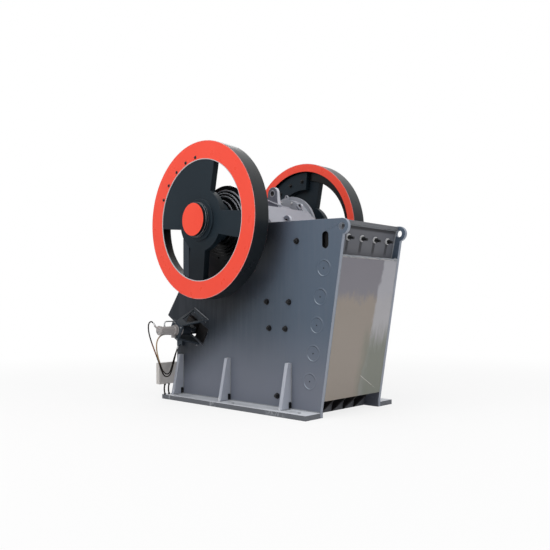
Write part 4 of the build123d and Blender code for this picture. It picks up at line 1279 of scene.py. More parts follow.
@dataclass
class Palette:
    """The materials of the machine, made once."""

    layout: Layout
    made: dict[str, bpy.types.Material] = field(default_factory=dict)

    def __post_init__(self) -> None:
        """Builds every finish."""
        worn = screen(176, 180, 186)
        slate = screen(84, 97, 113)
        place = self.layout
        lean = math.radians(place.wall_lean)
        out = (math.cos(lean), 0.0, -math.sin(lean))
        wall = out[0] * place.wall_face(0.0)
        shaft = (place.shaft_x, place.shaft_z)
        nook_top = place.flange_top + 0.075
        plate: dict = {"shaft": shaft, "ribs": place.ribs(), "nook_top": nook_top, "edge_width": 0.008}
        finishes = [
            SidePlatePaint("side_plate_paint", slate, screen(112, 116, 124), worn, wear=0.45, dust=0.08,
                           **plate),
            # A lighter copy of the frame paint, as painted light, for the flanges and ribs.
            FlangePaint("frame_paint_light", screen(172, 177, 188), screen(178, 182, 192), worn, dust=0.1,
                        wear=0.6, ribs=place.ribs(), root=place.half + 0.041, nook_top=nook_top,
                        flange_top=place.flange_top + 0.001, foot=place.flange_top + 0.05),
            PlugPaint("plug_paint", slate, screen(112, 116, 124), worn, wear=0.2, dust=0.02, **plate),
            # A darker copy of the frame paint, as painted shade, for the parts inside and at the rear.
            Paint("frame_paint_inside", screen(58, 61, 67), screen(50, 52, 58), worn, roughness=0.5,
                  dust=0.2, wear=0.3),
            Paint("bar_paint", screen(98, 100, 104), screen(112, 114, 118), worn, dust=0.1, wear=0.7),
            StreakedPaint("wall_paint", screen(90, 92, 99), screen(104, 105, 110), worn, dust=0.1,
                          rows=(-0.345, -0.115, 0.115, 0.345), top=place.clamp_height - 0.025,
                          shaded=place.bar_foot - 0.040),
            CoverPaint("cover_paint_gloss", screen(144, 135, 126), screen(138, 131, 124),
                       screen(214, 210, 204), roughness=0.22, specular=0.5, wear=0.5, dust=0.05),
            Paint("ledge_paint", screen(150, 148, 148), screen(164, 162, 162), screen(214, 214, 216),
                  roughness=0.3, wear=0.7),
            WheelPaint("dark_satin", screen(27, 38, 46), screen(31, 42, 50), screen(96, 106, 112),
                       roughness=0.4, specular=0.18, wear=0.25, edge_width=0.004, dust=0.03,
                       below=place.shaft_z - 0.30),
            Paint("spoke_flange", screen(46, 54, 62), screen(52, 60, 68), screen(110, 120, 126),
                  roughness=0.4, specular=0.2, wear=0.25, edge_width=0.004, dust=0.03),
            Paint("dark_bracket", screen(42, 50, 59), screen(52, 60, 68), screen(128, 136, 142),
                  roughness=0.38, specular=0.25, wear=0.6, edge_width=0.005, dust=0.12),
            RimPaint("rim_paint", screen(18, 21, 25), screen(24, 30, 33), screen(120, 132, 138),
                     roughness=0.3, specular=0.34, wear=0.25, edge_width=0.003, dust=0.04,
                     outboard=place.wheel_outer, inboard=place.wheel_inner, bore=place.wheel_bore,
                     radius=place.wheel_radius, shaft=shaft),
            SplitPaint("housing_paint", screen(16, 19, 23), screen(24, 28, 33), screen(120, 126, 132),
                       roughness=0.32, specular=0.3, wear=0.4, edge_width=0.004, dust=0.05),
            SealPaint("seal_paint", screen(11, 12, 14), screen(17, 18, 20), screen(60, 62, 64),
                      roughness=0.26, specular=0.3, wear=0.2, edge_width=0.003, dust=0.0, shaft=shaft,
                      steps=tuple(radius for radius, _ in place.seal_steps)),
            FacePaint("cap_red", screen(250, 86, 66), screen(246, 78, 58), screen(255, 150, 130),
                      roughness=0.38, specular=0.2, wear=0.15, edge_width=0.003, dust=0.0),
            Paint("jaw_primer_pale", screen(158, 161, 171), screen(146, 149, 158), screen(206, 208, 214),
                  roughness=0.42, wear=0.5, edge_width=0.008, dust=0.08),
            # On the ear and the lugs, the dark faces are painted shade and the pale edges painted light.
            FacePaint("ear_primer", screen(96, 101, 113), screen(106, 110, 121), screen(214, 216, 220),
                      roughness=0.4, wear=0.8, edge_width=0.008, dust=0.0, side=screen(196, 199, 208)),
            SplitPaint("cylinder_enamel", screen(176, 171, 169), screen(160, 156, 155),
                       screen(214, 214, 214), roughness=0.3, specular=0.4, wear=0.6, edge_width=0.004,
                       within=screen(28, 34, 41), border=0.764, far_border=0.764),
            Paint("box_enamel", screen(204, 200, 196), screen(190, 186, 183), screen(222, 220, 216),
                  roughness=0.4, wear=0.4, edge_width=0.004),
            # Black past the side plates' inner face is painted shade.
            CastSteel("manganese_cast", screen(66, 63, 61), screen(84, 68, 57), back=place.inner - 0.003),
            CastSteel("scaled_plate", screen(30, 30, 32), screen(44, 36, 32), screen(110, 110, 112),
                      rubbed=0.3, relief=0.2),
            BareSteel("turned_steel"),
            BareSteel("zinc", screen(190, 192, 194), screen(140, 138, 132), roughness=0.35,
                      metallic=0.85, soiled=0.3),
            BareSteel("spring_steel", screen(66, 64, 64), screen(92, 72, 58), roughness=0.42,
                      metallic=0.6, soiled=0.6),
            BareSteel("weld_metal", screen(140, 144, 150), screen(118, 120, 124), roughness=0.4,
                      metallic=0.15, soiled=0.5),
            BareSteel("black_steel", screen(22, 23, 26), screen(40, 40, 42), roughness=0.3,
                      metallic=0.3, soiled=0.3),
            # The washers' near-white colour is partly a painted highlight.
            ClampBoltFinish("clamp_bolt_steel", screen(232, 233, 235), screen(170, 170, 168),
                            metallic=0.4, soiled=0.2, out=out, wall=wall),
            Rubber("hose_cover", worn=0.6, stretch=(0.54, 0.68), outside=0.98),
            Rubber("hose_cover_rubbed", tan=screen(190, 160, 122), worn=0.95, stretch=(0.48, 0.76),
                   outside=0.93),
            Rubber("conduit_cover"),
        ]
        for finish in finishes:
            self.made[finish.name] = finish.build()

    def __getitem__(self, name: str) -> bpy.types.Material:
        """A material by its name."""
        return self.made[name]

    def dress(self, nodes: dict, name: str, *targets: str) -> None:
        """Puts a material on solids of the frame.

        Args:
            nodes: The frame's nodes.
            name: The material's name.
            targets: Nodes that get it.
        """
        for target in targets:
            coat(nodes[target].data, self.made[name])


def soften(node: bpy.types.Object, width: float, segments: int = 2) -> None:
    """Rounds the edges of a solid with modifiers.

    Args:
        node: The solid's object.
        width: Width of the rounding.
        segments: Facets of the rounding.
    """
    weld = node.modifiers.new("joined", "WELD")
    weld.merge_threshold = 0.00002
    bevel = node.modifiers.new("rounded", "BEVEL")
    bevel.width = width
    bevel.segments = segments
    bevel.limit_method = "ANGLE"
    bevel.angle_limit = math.radians(40)
    bevel.use_clamp_overlap = True
    bevel.harden_normals = False
    shaded = node.modifiers.new("shaded", "WEIGHTED_NORMAL")
    shaded.keep_sharp = False
    node.data.polygons.foreach_set("use_smooth", [True] * len(node.data.polygons))


# Sub-assemblies


@dataclass
class WeldedFrame:
    """Side plates, base flanges, ribs and rear members, with their welds and bolts."""

    layout: Layout
    palette: Palette
    rib_thickness: float = 0.044
    rib_height: float = 0.479
    rib_foot: float = 0.153
    corner_cut: tuple[float, float] = (0.038, 0.068)
    weld: float = 0.009
    plug_first: float = 0.359
    plug_pitch: float = 0.287
    plug_count: int = 5
    plug_back: float = 0.188
    plug_radius: float = 0.080
    plug_ring: Profile = ((0.014, 0.0), (0.002, 0.0036), (0.0, 0.0042), (-0.002, 0.0036), (-0.009, 0.0))
    plug_mark: Profile = ((0.008, 0.0), (0.008, 0.0015), (0.0, 0.0015))
    weld_end: float = 0.01
    rib_weld_share: float = 0.8
    bolt_places: tuple[tuple[float, float], ...] = (
        (-0.319, 1.797), (-0.749, 1.170), (-0.427, 1.167), (-0.713, 0.887), (-0.478, 0.886), (-0.595, 0.171))
    bolt: BoltSize = BoltSize(0.026, 0.024, 0.033, 0.004, 0.012, 0.015)

    def build(self, nodes: dict) -> None:
        """Dresses the solids and adds the welds, plug welds and cheek plate bolts.

        Args:
            nodes: The frame's nodes.
        """
        paint = self.palette
        paint.dress(nodes, "side_plate_paint", "side_plate_left", "side_plate_right")
        paint.dress(nodes, "frame_paint_light", "base_flange_left", "base_flange_right", "side_ribs_left",
                    "side_ribs_right")
        paint.dress(nodes, "frame_paint_inside", "rear_wall", "reaction_beam", "rod_lug", "block_rails")
        for name in ("side_plate_left", "side_plate_right", "rear_wall"):
            soften(nodes[name], 0.0025)
        for name in ("base_flange_left", "base_flange_right", "side_ribs_left", "side_ribs_right"):
            soften(nodes[name], 0.004)
        for side in Side:
            self._welds(side)
            self._plug_welds(side)
            self._bolts(side)

    def _welds(self, side: Side) -> None:
        """Beads along the base flange and round the ribs.

        Args:
            side: The side of the machine.
        """
        place = self.layout
        rng = random.Random(SEED + side.value)
        shape = Shape()
        y = side.value * place.half
        top = place.flange_top
        ends = (place.foot - self.weld_end, place.rear + self.weld_end)
        shape.bead([Vector((x, y, top)) for x in ends], self.weld, rng)
        rib_weld = self.weld * self.rib_weld_share
        rib_low = top + self.corner_cut[1]
        rib_high = top + self.rib_height
        for rib in place.ribs():
            for x in (rib - self.rib_thickness / 2, rib + self.rib_thickness / 2):
                root = side.value * (place.half + self.corner_cut[0])
                tip = side.value * (place.half + self.rib_foot)
                shape.bead([Vector((x, y, rib_low)), Vector((x, y, rib_high))], rib_weld, rng)
                shape.bead([Vector((x, root, top)), Vector((x, tip, top))], rib_weld, rng)
        shape.build(f"frame_welds_{side.label}", self.palette["weld_metal"], Body.FRAME, Slot.FRAME)

    def _plug_welds(self, side: Side) -> None:
        """Low rings where the front wall is welded through the side plate, with a black disc in each as
        painted shade of its centre hole.

        Args:
            side: The side of the machine.
        """
        place = self.layout
        rings = Shape()
        dots = Shape()
        ring = [(self.plug_radius + out, height) for out, height in self.plug_ring]
        for i in range(self.plug_count):
            z = self.plug_first + i * self.plug_pitch
            seat = Vector((place.front_edge(z) - self.plug_back, side.value * place.half, z))
            frame = frame_at(seat, (0, side.value, 0))
            rings.lathe(ring, frame, 64)
            # A black disc in the middle stands in for the shade of the centre hole.
            dots.lathe(self.plug_mark, frame, 16)
        rings.build(f"plug_welds_{side.label}", self.palette["plug_paint"], Body.FRAME, Slot.FRAME, 60)
        dots.build(f"plug_weld_marks_{side.label}", self.palette["black_steel"], Body.FRAME, Slot.FRAME)

    def _bolts(self, side: Side) -> None:
        """Nuts of the cheek plate bolts on the outside of the side plate.

        Args:
            side: The side of the machine.
        """
        place = self.layout
        rng = random.Random(SEED)
        shape = Shape()
        for x, z in self.bolt_places:
            seat = Vector((place.foot + x, side.value * place.half, z))
            shape.bolt(seat, (0, side.value, 0), self.bolt, rng.uniform(0, 60))
        shape.build(f"cheek_bolts_{side.label}", self.palette["black_steel"], Body.FRAME, Slot.DARK)


@dataclass
class FrontWall:
    """Leaning front wall with its cover, ledge, top bar and clamp bolts."""

    layout: Layout
    palette: Palette
    weld: float = 0.008
    lumps: int = 26
    lump_sizes: tuple[float, float] = (1.0, 1.8)
    last_lump: float = 2.6
    lump_drift: float = 0.003
    crest_back: float = 0.010
    crest_sink: float = 0.002
    cover_sink: float = 0.001
    cover_weld: float = 0.004

    def build(self, nodes: dict) -> None:
        """Dresses the wall and adds its welds.

        Args:
            nodes: The frame's nodes.
        """
        paint = self.palette
        paint.dress(nodes, "wall_paint", "front_inner_wall")
        paint.dress(nodes, "cover_paint_gloss", "front_cover")
        paint.dress(nodes, "ledge_paint", "front_ledge")
        paint.dress(nodes, "scaled_plate", "front_wall_ribs")
        paint.dress(nodes, "bar_paint", "front_top_bar")
        paint.dress(nodes, "clamp_bolt_steel", "clamp_bolts")
        for name in ("front_cover", "front_ledge", "front_top_bar", "front_inner_wall"):
            soften(nodes[name], 0.003)
        self._welds()

    def _welds(self) -> None:
        """Beads round the recess above the cover, along the cover and under the bar."""
        place = self.layout
        rng = random.Random(SEED + 5)
        _, ledge_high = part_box("front_ledge")
        bar_low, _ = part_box("front_top_bar")
        cover_low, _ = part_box("front_cover")
        shape = Shape()
        y = place.inner
        crest = place.front_edge(ledge_high.z) - self.crest_back
        lumps = []
        sizes = []
        for i in range(self.lumps + 1):
            height = ledge_high.z - self.crest_sink + rng.uniform(-self.lump_drift, self.lump_drift)
            lumps.append(Vector((crest, -y + 2 * y * i / self.lumps, height)))
            last = i == self.lumps - 1
            sizes.append(self.weld * (self.last_lump if last else rng.uniform(*self.lump_sizes)))
        shape.tube(lumps, sizes, 8)
        under_bar = place.wall_face(bar_low.z)
        shape.bead([Vector((under_bar, end, bar_low.z)) for end in (-y, y)], self.weld, rng)
        for end in (-y, y):
            low = Vector((place.wall_face(ledge_high.z), end, ledge_high.z))
            high = Vector((under_bar, end, bar_low.z))
            shape.bead([low, high], self.weld, rng)
            side = [Vector((place.front_edge(z) - self.cover_sink, end, z))
                    for z in (cover_low.z, ledge_high.z)]
            shape.bead(side, self.cover_weld, rng)
        shape.build("front_wall_welds", self.palette["weld_metal"], Body.FRAME, Slot.FRAME)


@dataclass
class Bearings:
    """Main bearing housings, seal covers and lifting eyes."""

    layout: Layout
    palette: Palette
    flange_bolts: int = 12
    flange_circle: float = 0.404
    inner_bolts: int = 12
    inner_circle: float = 0.345
    inner_turn: float = 8.0
    ring_edge: float = 0.003
    ring_land: float = 0.018
    ring_groove: float = 0.010
    flange_bolt: BoltSize = BoltSize(0.013, 0.012, 0.0, 0.0, 0.006, 0.007)
    inner_bolt: BoltSize = BoltSize(0.014, 0.013, 0.017, 0.002)

    def build(self, nodes: dict) -> None:
        """Dresses the housings and adds their bolts.

        Args:
            nodes: The frame's nodes.
        """
        paint = self.palette
        paint.dress(nodes, "housing_paint", "bearing_housing_left", "bearing_housing_right", "lifting_eyes")
        paint.dress(nodes, "turned_steel", "eccentric_shaft")
        for name in ("bearing_housing_left", "bearing_housing_right"):
            soften(nodes[name], 0.002)
        self._seal_rings(nodes)
        for side in Side:
            self._bolts(side)

    def _seal_rings(self, nodes: dict) -> None:
        """Seal covers as stepped rings with grooves between them, narrower outboard.

        Args:
            nodes: The frame's nodes.
        """
        place = self.layout
        hub = Vector((place.shaft_x, 0, place.shaft_z))
        across = [Vector((v.co.x, 0, v.co.z)) - hub for v in nodes["seal_covers"].data.vertices]
        bore = min(spot.length for spot in across)
        profile = [(bore, 0.0)]
        floor = 0.0
        for radius, height in place.seal_steps:
            profile += [(radius, floor), (radius, height - self.ring_edge), (radius - self.ring_edge, height)]
            if (radius, height) != place.seal_steps[-1]:
                floor = height - self.ring_groove
                profile += [(radius - self.ring_land, height), (radius - self.ring_land, floor)]
        profile.append((bore, place.seal_steps[-1][1]))
        shape = Shape()
        for side in Side:
            seat = Vector((place.shaft_x, side.value * place.seal_root, place.shaft_z))
            shape.lathe(profile, frame_at(seat, (0, side.value, 0)), 96, closed=True)
        piece = shape.build("seal_rings", self.palette["seal_paint"], Body.FRAME, Slot.DARK)
        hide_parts("seal_covers")

    def _bolts(self, side: Side) -> None:
        """Bolts on the flange outside and on the housing's inner face.

        Args:
            side: The side of the machine.
        """
        place = self.layout
        outer = Shape()
        inner = Shape()
        flange_low, flange_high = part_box(f"bearing_housing_{side.label}")
        reach = max(abs(flange_low.y), abs(flange_high.y))
        depth = min(abs(flange_low.y), abs(flange_high.y))
        for i in range(self.flange_bolts):
            angle = 360 / self.flange_bolts * (i + 0.5)
            seat = place.polar(self.flange_circle, angle, side.value * reach)
            outer.bolt(seat, (0, side.value, 0), self.flange_bolt, angle * 3)
        for i in range(self.inner_bolts):
            angle = 360 / self.inner_bolts * i + self.inner_turn
            seat = place.polar(self.inner_circle, angle, side.value * depth)
            inner.bolt(seat, (0, -side.value, 0), self.inner_bolt, angle)
        outer.build(f"housing_flange_bolts_{side.label}", self.palette["black_steel"], Body.FRAME, Slot.DARK)
        inner.build(f"housing_inner_bolts_{side.label}", self.palette["zinc"], Body.FRAME, Slot.STEEL)


@dataclass
class Flywheels:
    """Spoked wheels with red faces, counterweights, hub caps and their bolts."""

    layout: Layout
    palette: Palette
    rim_bolt_circle: float = 0.700
    rim_bolt_angles: tuple[float, ...] = (96.0, 110.0, 125.0, 141.0, 156.0)
    rim_bolt: BoltSize = BoltSize(0.015, 0.006, 0.0, 0.0, 0.003, 0.006)
    rim_washer: Profile = ((0.019, 0.0), (0.017, 0.003), (0.010, 0.0036), (0.0, 0.0036))
    rim_washer_lift: float = 0.0030
    weight_bolt: BoltSize = BoltSize(0.020, 0.018, 0.026, 0.004, 0.010, 0.011)
    weight_circle: float = 0.650
    weight_angles: tuple[float, ...] = (90.0, 108.0, 126.0, 144.0, 162.0)
    neck_radius: float = 0.188
    neck_grooves: tuple[float, ...] = (0.968, 0.996)
    neck_ring: Profile = ((-0.001, -0.002), (0.0010, -0.0015), (0.0010, 0.0015), (-0.001, 0.002))
    web_faces: tuple[tuple[float, float], ...] = ((0.829, 0.850), (0.871, 0.924), (0.897, 0.948))
    snap: float = 0.0015
    flange_span: tuple[float, float] = (0.876, 0.9265)
    flange_bevel: float = 0.006
    flange_corners: tuple[tuple[float, float], ...] = (
        (-0.290, -0.184), (-0.290, -0.590), (-0.190, -0.628), (-0.190, -0.284))

    def build(self, nodes: dict) -> None:
        """Dresses both wheels and adds what is bolted to them.

        Args:
            nodes: The frame's nodes.
        """
        paint = self.palette
        paint.dress(nodes, "rim_paint", "flywheel_rim_left", "flywheel_rim_right")
        paint.dress(nodes, "cap_red", "hub_caps")
        for name in ("flywheel_rim_left", "flywheel_rim_right"):
            soften(nodes[name], 0.0035)
        soften(nodes["hub_caps"], 0.003)
        self._cast(nodes, "counterweights", "cast_counterweights", self.web_faces[:1])
        for side in Side:
            self._cast(nodes, f"flywheel_web_{side.label}", f"cast_web_{side.label}", self.web_faces)
            self._spoke_flange(side)
            self._bolts(side)
            self._neck(side)

    def _cast(self, nodes: dict, node: str, name: str, faces: Sequence[tuple[float, float]]) -> None:
        """A casting with faces further outboard than its solid's, in place of it.

        Args:
            nodes: The frame's nodes.
            node: The solid that it stands for.
            name: The piece's name.
            faces: Distances from the middle plane of the solid's faces, and of the casting's.
        """
        mesh = nodes[node].data.copy()
        for vertex in mesh.vertices:
            reach = abs(vertex.co.y)
            for solid, cast in faces:
                if abs(reach - solid) < self.snap:
                    vertex.co.y = math.copysign(cast, vertex.co.y)
        coat(mesh, self.palette["dark_satin"])
        piece = stand(name, mesh)
        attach(piece, Body.ROTOR.value)
        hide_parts(node)
        soften(piece, 0.004, 3)
        LOG.info("%s: %d faces on rotor", name, len(mesh.polygons))

    def _spoke_flange(self, side: Side) -> None:
        """Flange along the rear of the lower spoke.

        Args:
            side: The side of the machine.
        """
        place = self.layout
        low, high = self.flange_span
        shape = Shape()
        foot = Vector((place.shaft_x, side.value * low, place.shaft_z))
        outline = [foot + Vector((x, 0, z)) for x, z in self.flange_corners]
        shape.slab(outline, Vector((0, side.value * (high - low), 0)), self.flange_bevel)
        shape.build(f"spoke_flange_{side.label}", self.palette["spoke_flange"], Body.ROTOR, Slot.DARK)

    def _bolts(self, side: Side) -> None:
        """Rim bolts on the red face and bolts of the counterweight behind the web.

        Args:
            side: The side of the machine.
        """
        place = self.layout
        rim = Shape()
        studs = Shape()
        weight = Shape()
        out = side.value
        weight_face = self._weight_face()
        for angle in self.rim_bolt_angles:
            seat = place.polar(self.rim_bolt_circle, angle, out * place.wheel_outer)
            frame = frame_at(seat, (0, out, 0))
            rim.lathe(self.rim_washer, frame, 20)
            studs.bolt(seat + Vector((0, out * self.rim_washer_lift, 0)), (0, out, 0), self.rim_bolt, angle)
        for angle in self.weight_angles:
            seat = place.polar(self.weight_circle, angle, out * weight_face)
            weight.bolt(seat, (0, -out, 0), self.weight_bolt, angle)
        rim.build(f"rim_bolt_washers_{side.label}", self.palette["black_steel"], Body.ROTOR, Slot.DARK)
        studs.build(f"rim_bolts_{side.label}", self.palette["black_steel"], Body.ROTOR, Slot.DARK)
        weight.build(f"counterweight_bolts_{side.label}", self.palette["black_steel"], Body.ROTOR, Slot.DARK)

    @staticmethod
    def _weight_face() -> float:
        """Distance of the counterweights' inboard face from the middle plane."""
        return min(abs(v.co.y) for v in bpy.data.objects["counterweights"].data.vertices)

    def _neck(self, side: Side) -> None:
        """Thin bright steel rings round the hub's neck that stand in for highlights on its edges.

        Args:
            side: The side of the machine.
        """
        place = self.layout
        shape = Shape()
        ring = [(self.neck_radius + out, height) for out, height in self.neck_ring]
        for y in self.neck_grooves:
            seat = Vector((place.shaft_x, side.value * y, place.shaft_z))
            shape.lathe(ring, frame_at(seat, (0, side.value, 0)), 96, closed=True)
        # The bright rings stand in for highlights on the hub's edges.
        shape.build(f"hub_lines_{side.label}", self.palette["turned_steel"], Body.ROTOR, Slot.STEEL)


@dataclass
class SwingJaw:
    """The swing jaw's casting, its bosses and barrel cap bolts, and the chamber's wear plates."""

    layout: Layout
    palette: Palette
    lug_places: tuple[Point, ...] = ((0.268, -0.144, 2.086), (0.046, 0.330, 2.316))
    lug_radii: tuple[float, ...] = (0.056, 0.030)
    lug_holes: tuple[float, ...] = (0.018, 0.014)
    lug_thickness: float = 0.040
    lug_chamfer: float = 0.004
    lug_seat: float = 0.01
    lug_foot: tuple[float, float] = (1.1, 1.4)
    lug_weld: tuple[float, float] = (1.05, 0.6)
    lug_bead: float = 0.007
    ear_bead: float = 0.010
    ear_shift: Point = (0.026, 0.027, -0.011)
    ear_radius: float = 0.076
    ear_hole: float = 0.030
    ear_depth: float = 0.215
    ear_flare: float = 0.12
    ear_chamfer: float = 0.005
    ear_ring: Profile = ((0.0, -0.001), (0.011, -0.001), (0.010, 0.002), (0.001, 0.002))
    sleeve: float = 0.003
    panel_normal: Point = (0.724, 0.0, 0.690)
    head_fall: float = -22.0
    ear_height: float = 0.19
    cap_circle: float = 0.262
    cap_bolts: int = 12
    cap_bolt: BoltSize = BoltSize(0.011, 0.010)

    def build(self, nodes: dict) -> None:
        """Dresses the jaw and the wear plates and adds the bosses and bolts.

        Args:
            nodes: The frame's nodes.
        """
        paint = self.palette
        paint.dress(nodes, "jaw_primer_pale", "swing_jaw", "barrel_caps")
        paint.dress(nodes, "manganese_cast", "fixed_jaw_plate", "swing_jaw_plate", "upper_cheek_plates",
                    "lower_cheek_plates")
        for name in ("fixed_jaw_plate", "swing_jaw_plate"):
            soften(nodes[name], 0.007, 3)
        for name in ("upper_cheek_plates", "lower_cheek_plates"):
            soften(nodes[name], 0.004)
        self._lugs()
        self._ear()
        self._cap_bolts()

    def _lugs(self) -> None:
        """Small drilled lugs that stand on the head, with a fillet weld round their feet."""
        lugs = Shape()
        welds = Shape()
        rng = random.Random(SEED + 21)
        half = self.lug_thickness / 2
        down = -Vector(self.panel_normal)
        for place, radius, hole in zip(self.lug_places, self.lug_radii, self.lug_holes):
            centre = Vector(place)
            frame = frame_at(centre, (0, -1, 0))
            lugs.eye_plate(frame, hole, lambda angle: radius, half, self.lug_chamfer)
            side = Vector((self.panel_normal[2], 0, -self.panel_normal[0]))
            spread, depth = self.lug_foot
            low = radius * depth
            base = [centre + side * (radius * k) + Vector((0, -half, 0)) + down * drop
                    for k, drop in ((1, self.lug_seat), (-1, self.lug_seat), (-spread, low), (spread, low))]
            k, sunk = self.lug_weld
            foot = [centre + side * (radius * x) + Vector((0, y, 0)) + down * (radius * sunk)
                    for x, y in ((k, -half), (-k, -half), (-k, half), (k, half), (k, -half))]
            lugs.slab(base, Vector((0, self.lug_thickness, 0)))
            welds.bead(foot, self.lug_bead, rng)
        lugs.build("jaw_lugs", self.palette["ear_primer"], Body.JAW, Slot.JAW)
        welds.build("jaw_lug_welds", self.palette["jaw_primer_pale"], Body.JAW, Slot.JAW)

    def _ear(self) -> None:
        """Lifting ear with a flared foot, its ring and weld, and black sleeves in the bores of every eye as
        painted shade.
        """
        low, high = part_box("jaw_lifting_ear")
        rng = random.Random(SEED + 23)
        shift = Vector(self.ear_shift)
        solid_radius = (high.x - low.x) / 2
        centre = Vector(((low.x + high.x) / 2, (low.y + high.y) / 2, high.z - solid_radius)) + shift
        half = (high.y - low.y) / 2
        frame = Matrix.Translation(centre) @ Matrix.Rotation(math.pi / 2, 4, "X")
        ear = Shape().eye_plate(frame, self.ear_hole, self._ear_reach, half, self.ear_chamfer)
        piece = ear.build("cast_lifting_ear", self.palette["ear_primer"], Body.JAW, Slot.JAW)
        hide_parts("jaw_lifting_ear")
        ring = Shape()
        face = frame_at(centre + Vector((0, -half, 0)), (0, -1, 0))
        r = self.ear_hole
        ring.lathe([(r + out, height) for out, height in self.ear_ring], face, 48, closed=True)
        ring.build("ear_ring", self.palette["jaw_primer_pale"], Body.JAW, Slot.JAW)
        # Black sleeves in the holes stand in for the shade inside them.
        bores = Shape().lathe(self._sleeve(r, half), frame_at(centre, (0, -1, 0)), 48, closed=True)
        for place, hole in zip(self.lug_places, self.lug_holes):
            sleeve = self._sleeve(hole, self.lug_thickness / 2)
            bores.lathe(sleeve, frame_at(place, (0, -1, 0)), 32, closed=True)
        bores.build("eye_bores", self.palette["black_steel"], Body.JAW, Slot.DARK)
        weld = Shape()
        a = math.radians(self.head_fall)
        reach = self.ear_radius + self.ear_flare * self.ear_depth
        foot = high.z - self.ear_height
        outline = []
        for side, depth in ((-1, -1), (1, -1), (1, 1), (-1, 1), (-1, -1)):
            x = centre.x + side * reach
            outline.append(Vector((x, centre.y + depth * half, foot + (x - high.x) * math.tan(a))))
        weld.bead(outline, self.ear_bead, rng)
        weld.build("ear_weld", self.palette["jaw_primer_pale"], Body.JAW, Slot.JAW)

    def _sleeve(self, hole: float, half: float) -> Profile:
        """Profile of a thin black sleeve in an eye's hole, as painted shade."""
        inner, end = hole - self.sleeve, half - self.sleeve
        return [(inner, -end), (hole, -end), (hole, end), (inner, end)]

    def _ear_reach(self, angle: float) -> float:
        """Distance from the ear's hole to its outline, round on top with flared sides below.

        Args:
            angle: Angle from the frame's X, in radians.

        Returns:
            The distance.
        """
        across, down = abs(math.cos(angle)), -math.sin(angle)
        if down <= 0:
            return self.ear_radius
        foot = self.ear_depth / down
        open_side = across - self.ear_flare * down
        return min(foot, self.ear_radius / open_side) if open_side > 0.01 else foot

    def _cap_bolts(self) -> None:
        """Bolts round the rings that close the barrel."""
        low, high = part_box("barrel_caps")
        centre = (low + high) / 2
        shape = Shape()
        for side in Side:
            for i in range(self.cap_bolts):
                a = 2 * math.pi * i / self.cap_bolts
                seat = Vector((centre.x + self.cap_circle * math.cos(a), side.value * high.y,
                               centre.z + self.cap_circle * math.sin(a)))
                shape.bolt(seat, (0, side.value, 0), self.cap_bolt, i * 17)
        shape.build("barrel_cap_bolts", self.palette["zinc"], Body.JAW, Slot.STEEL)


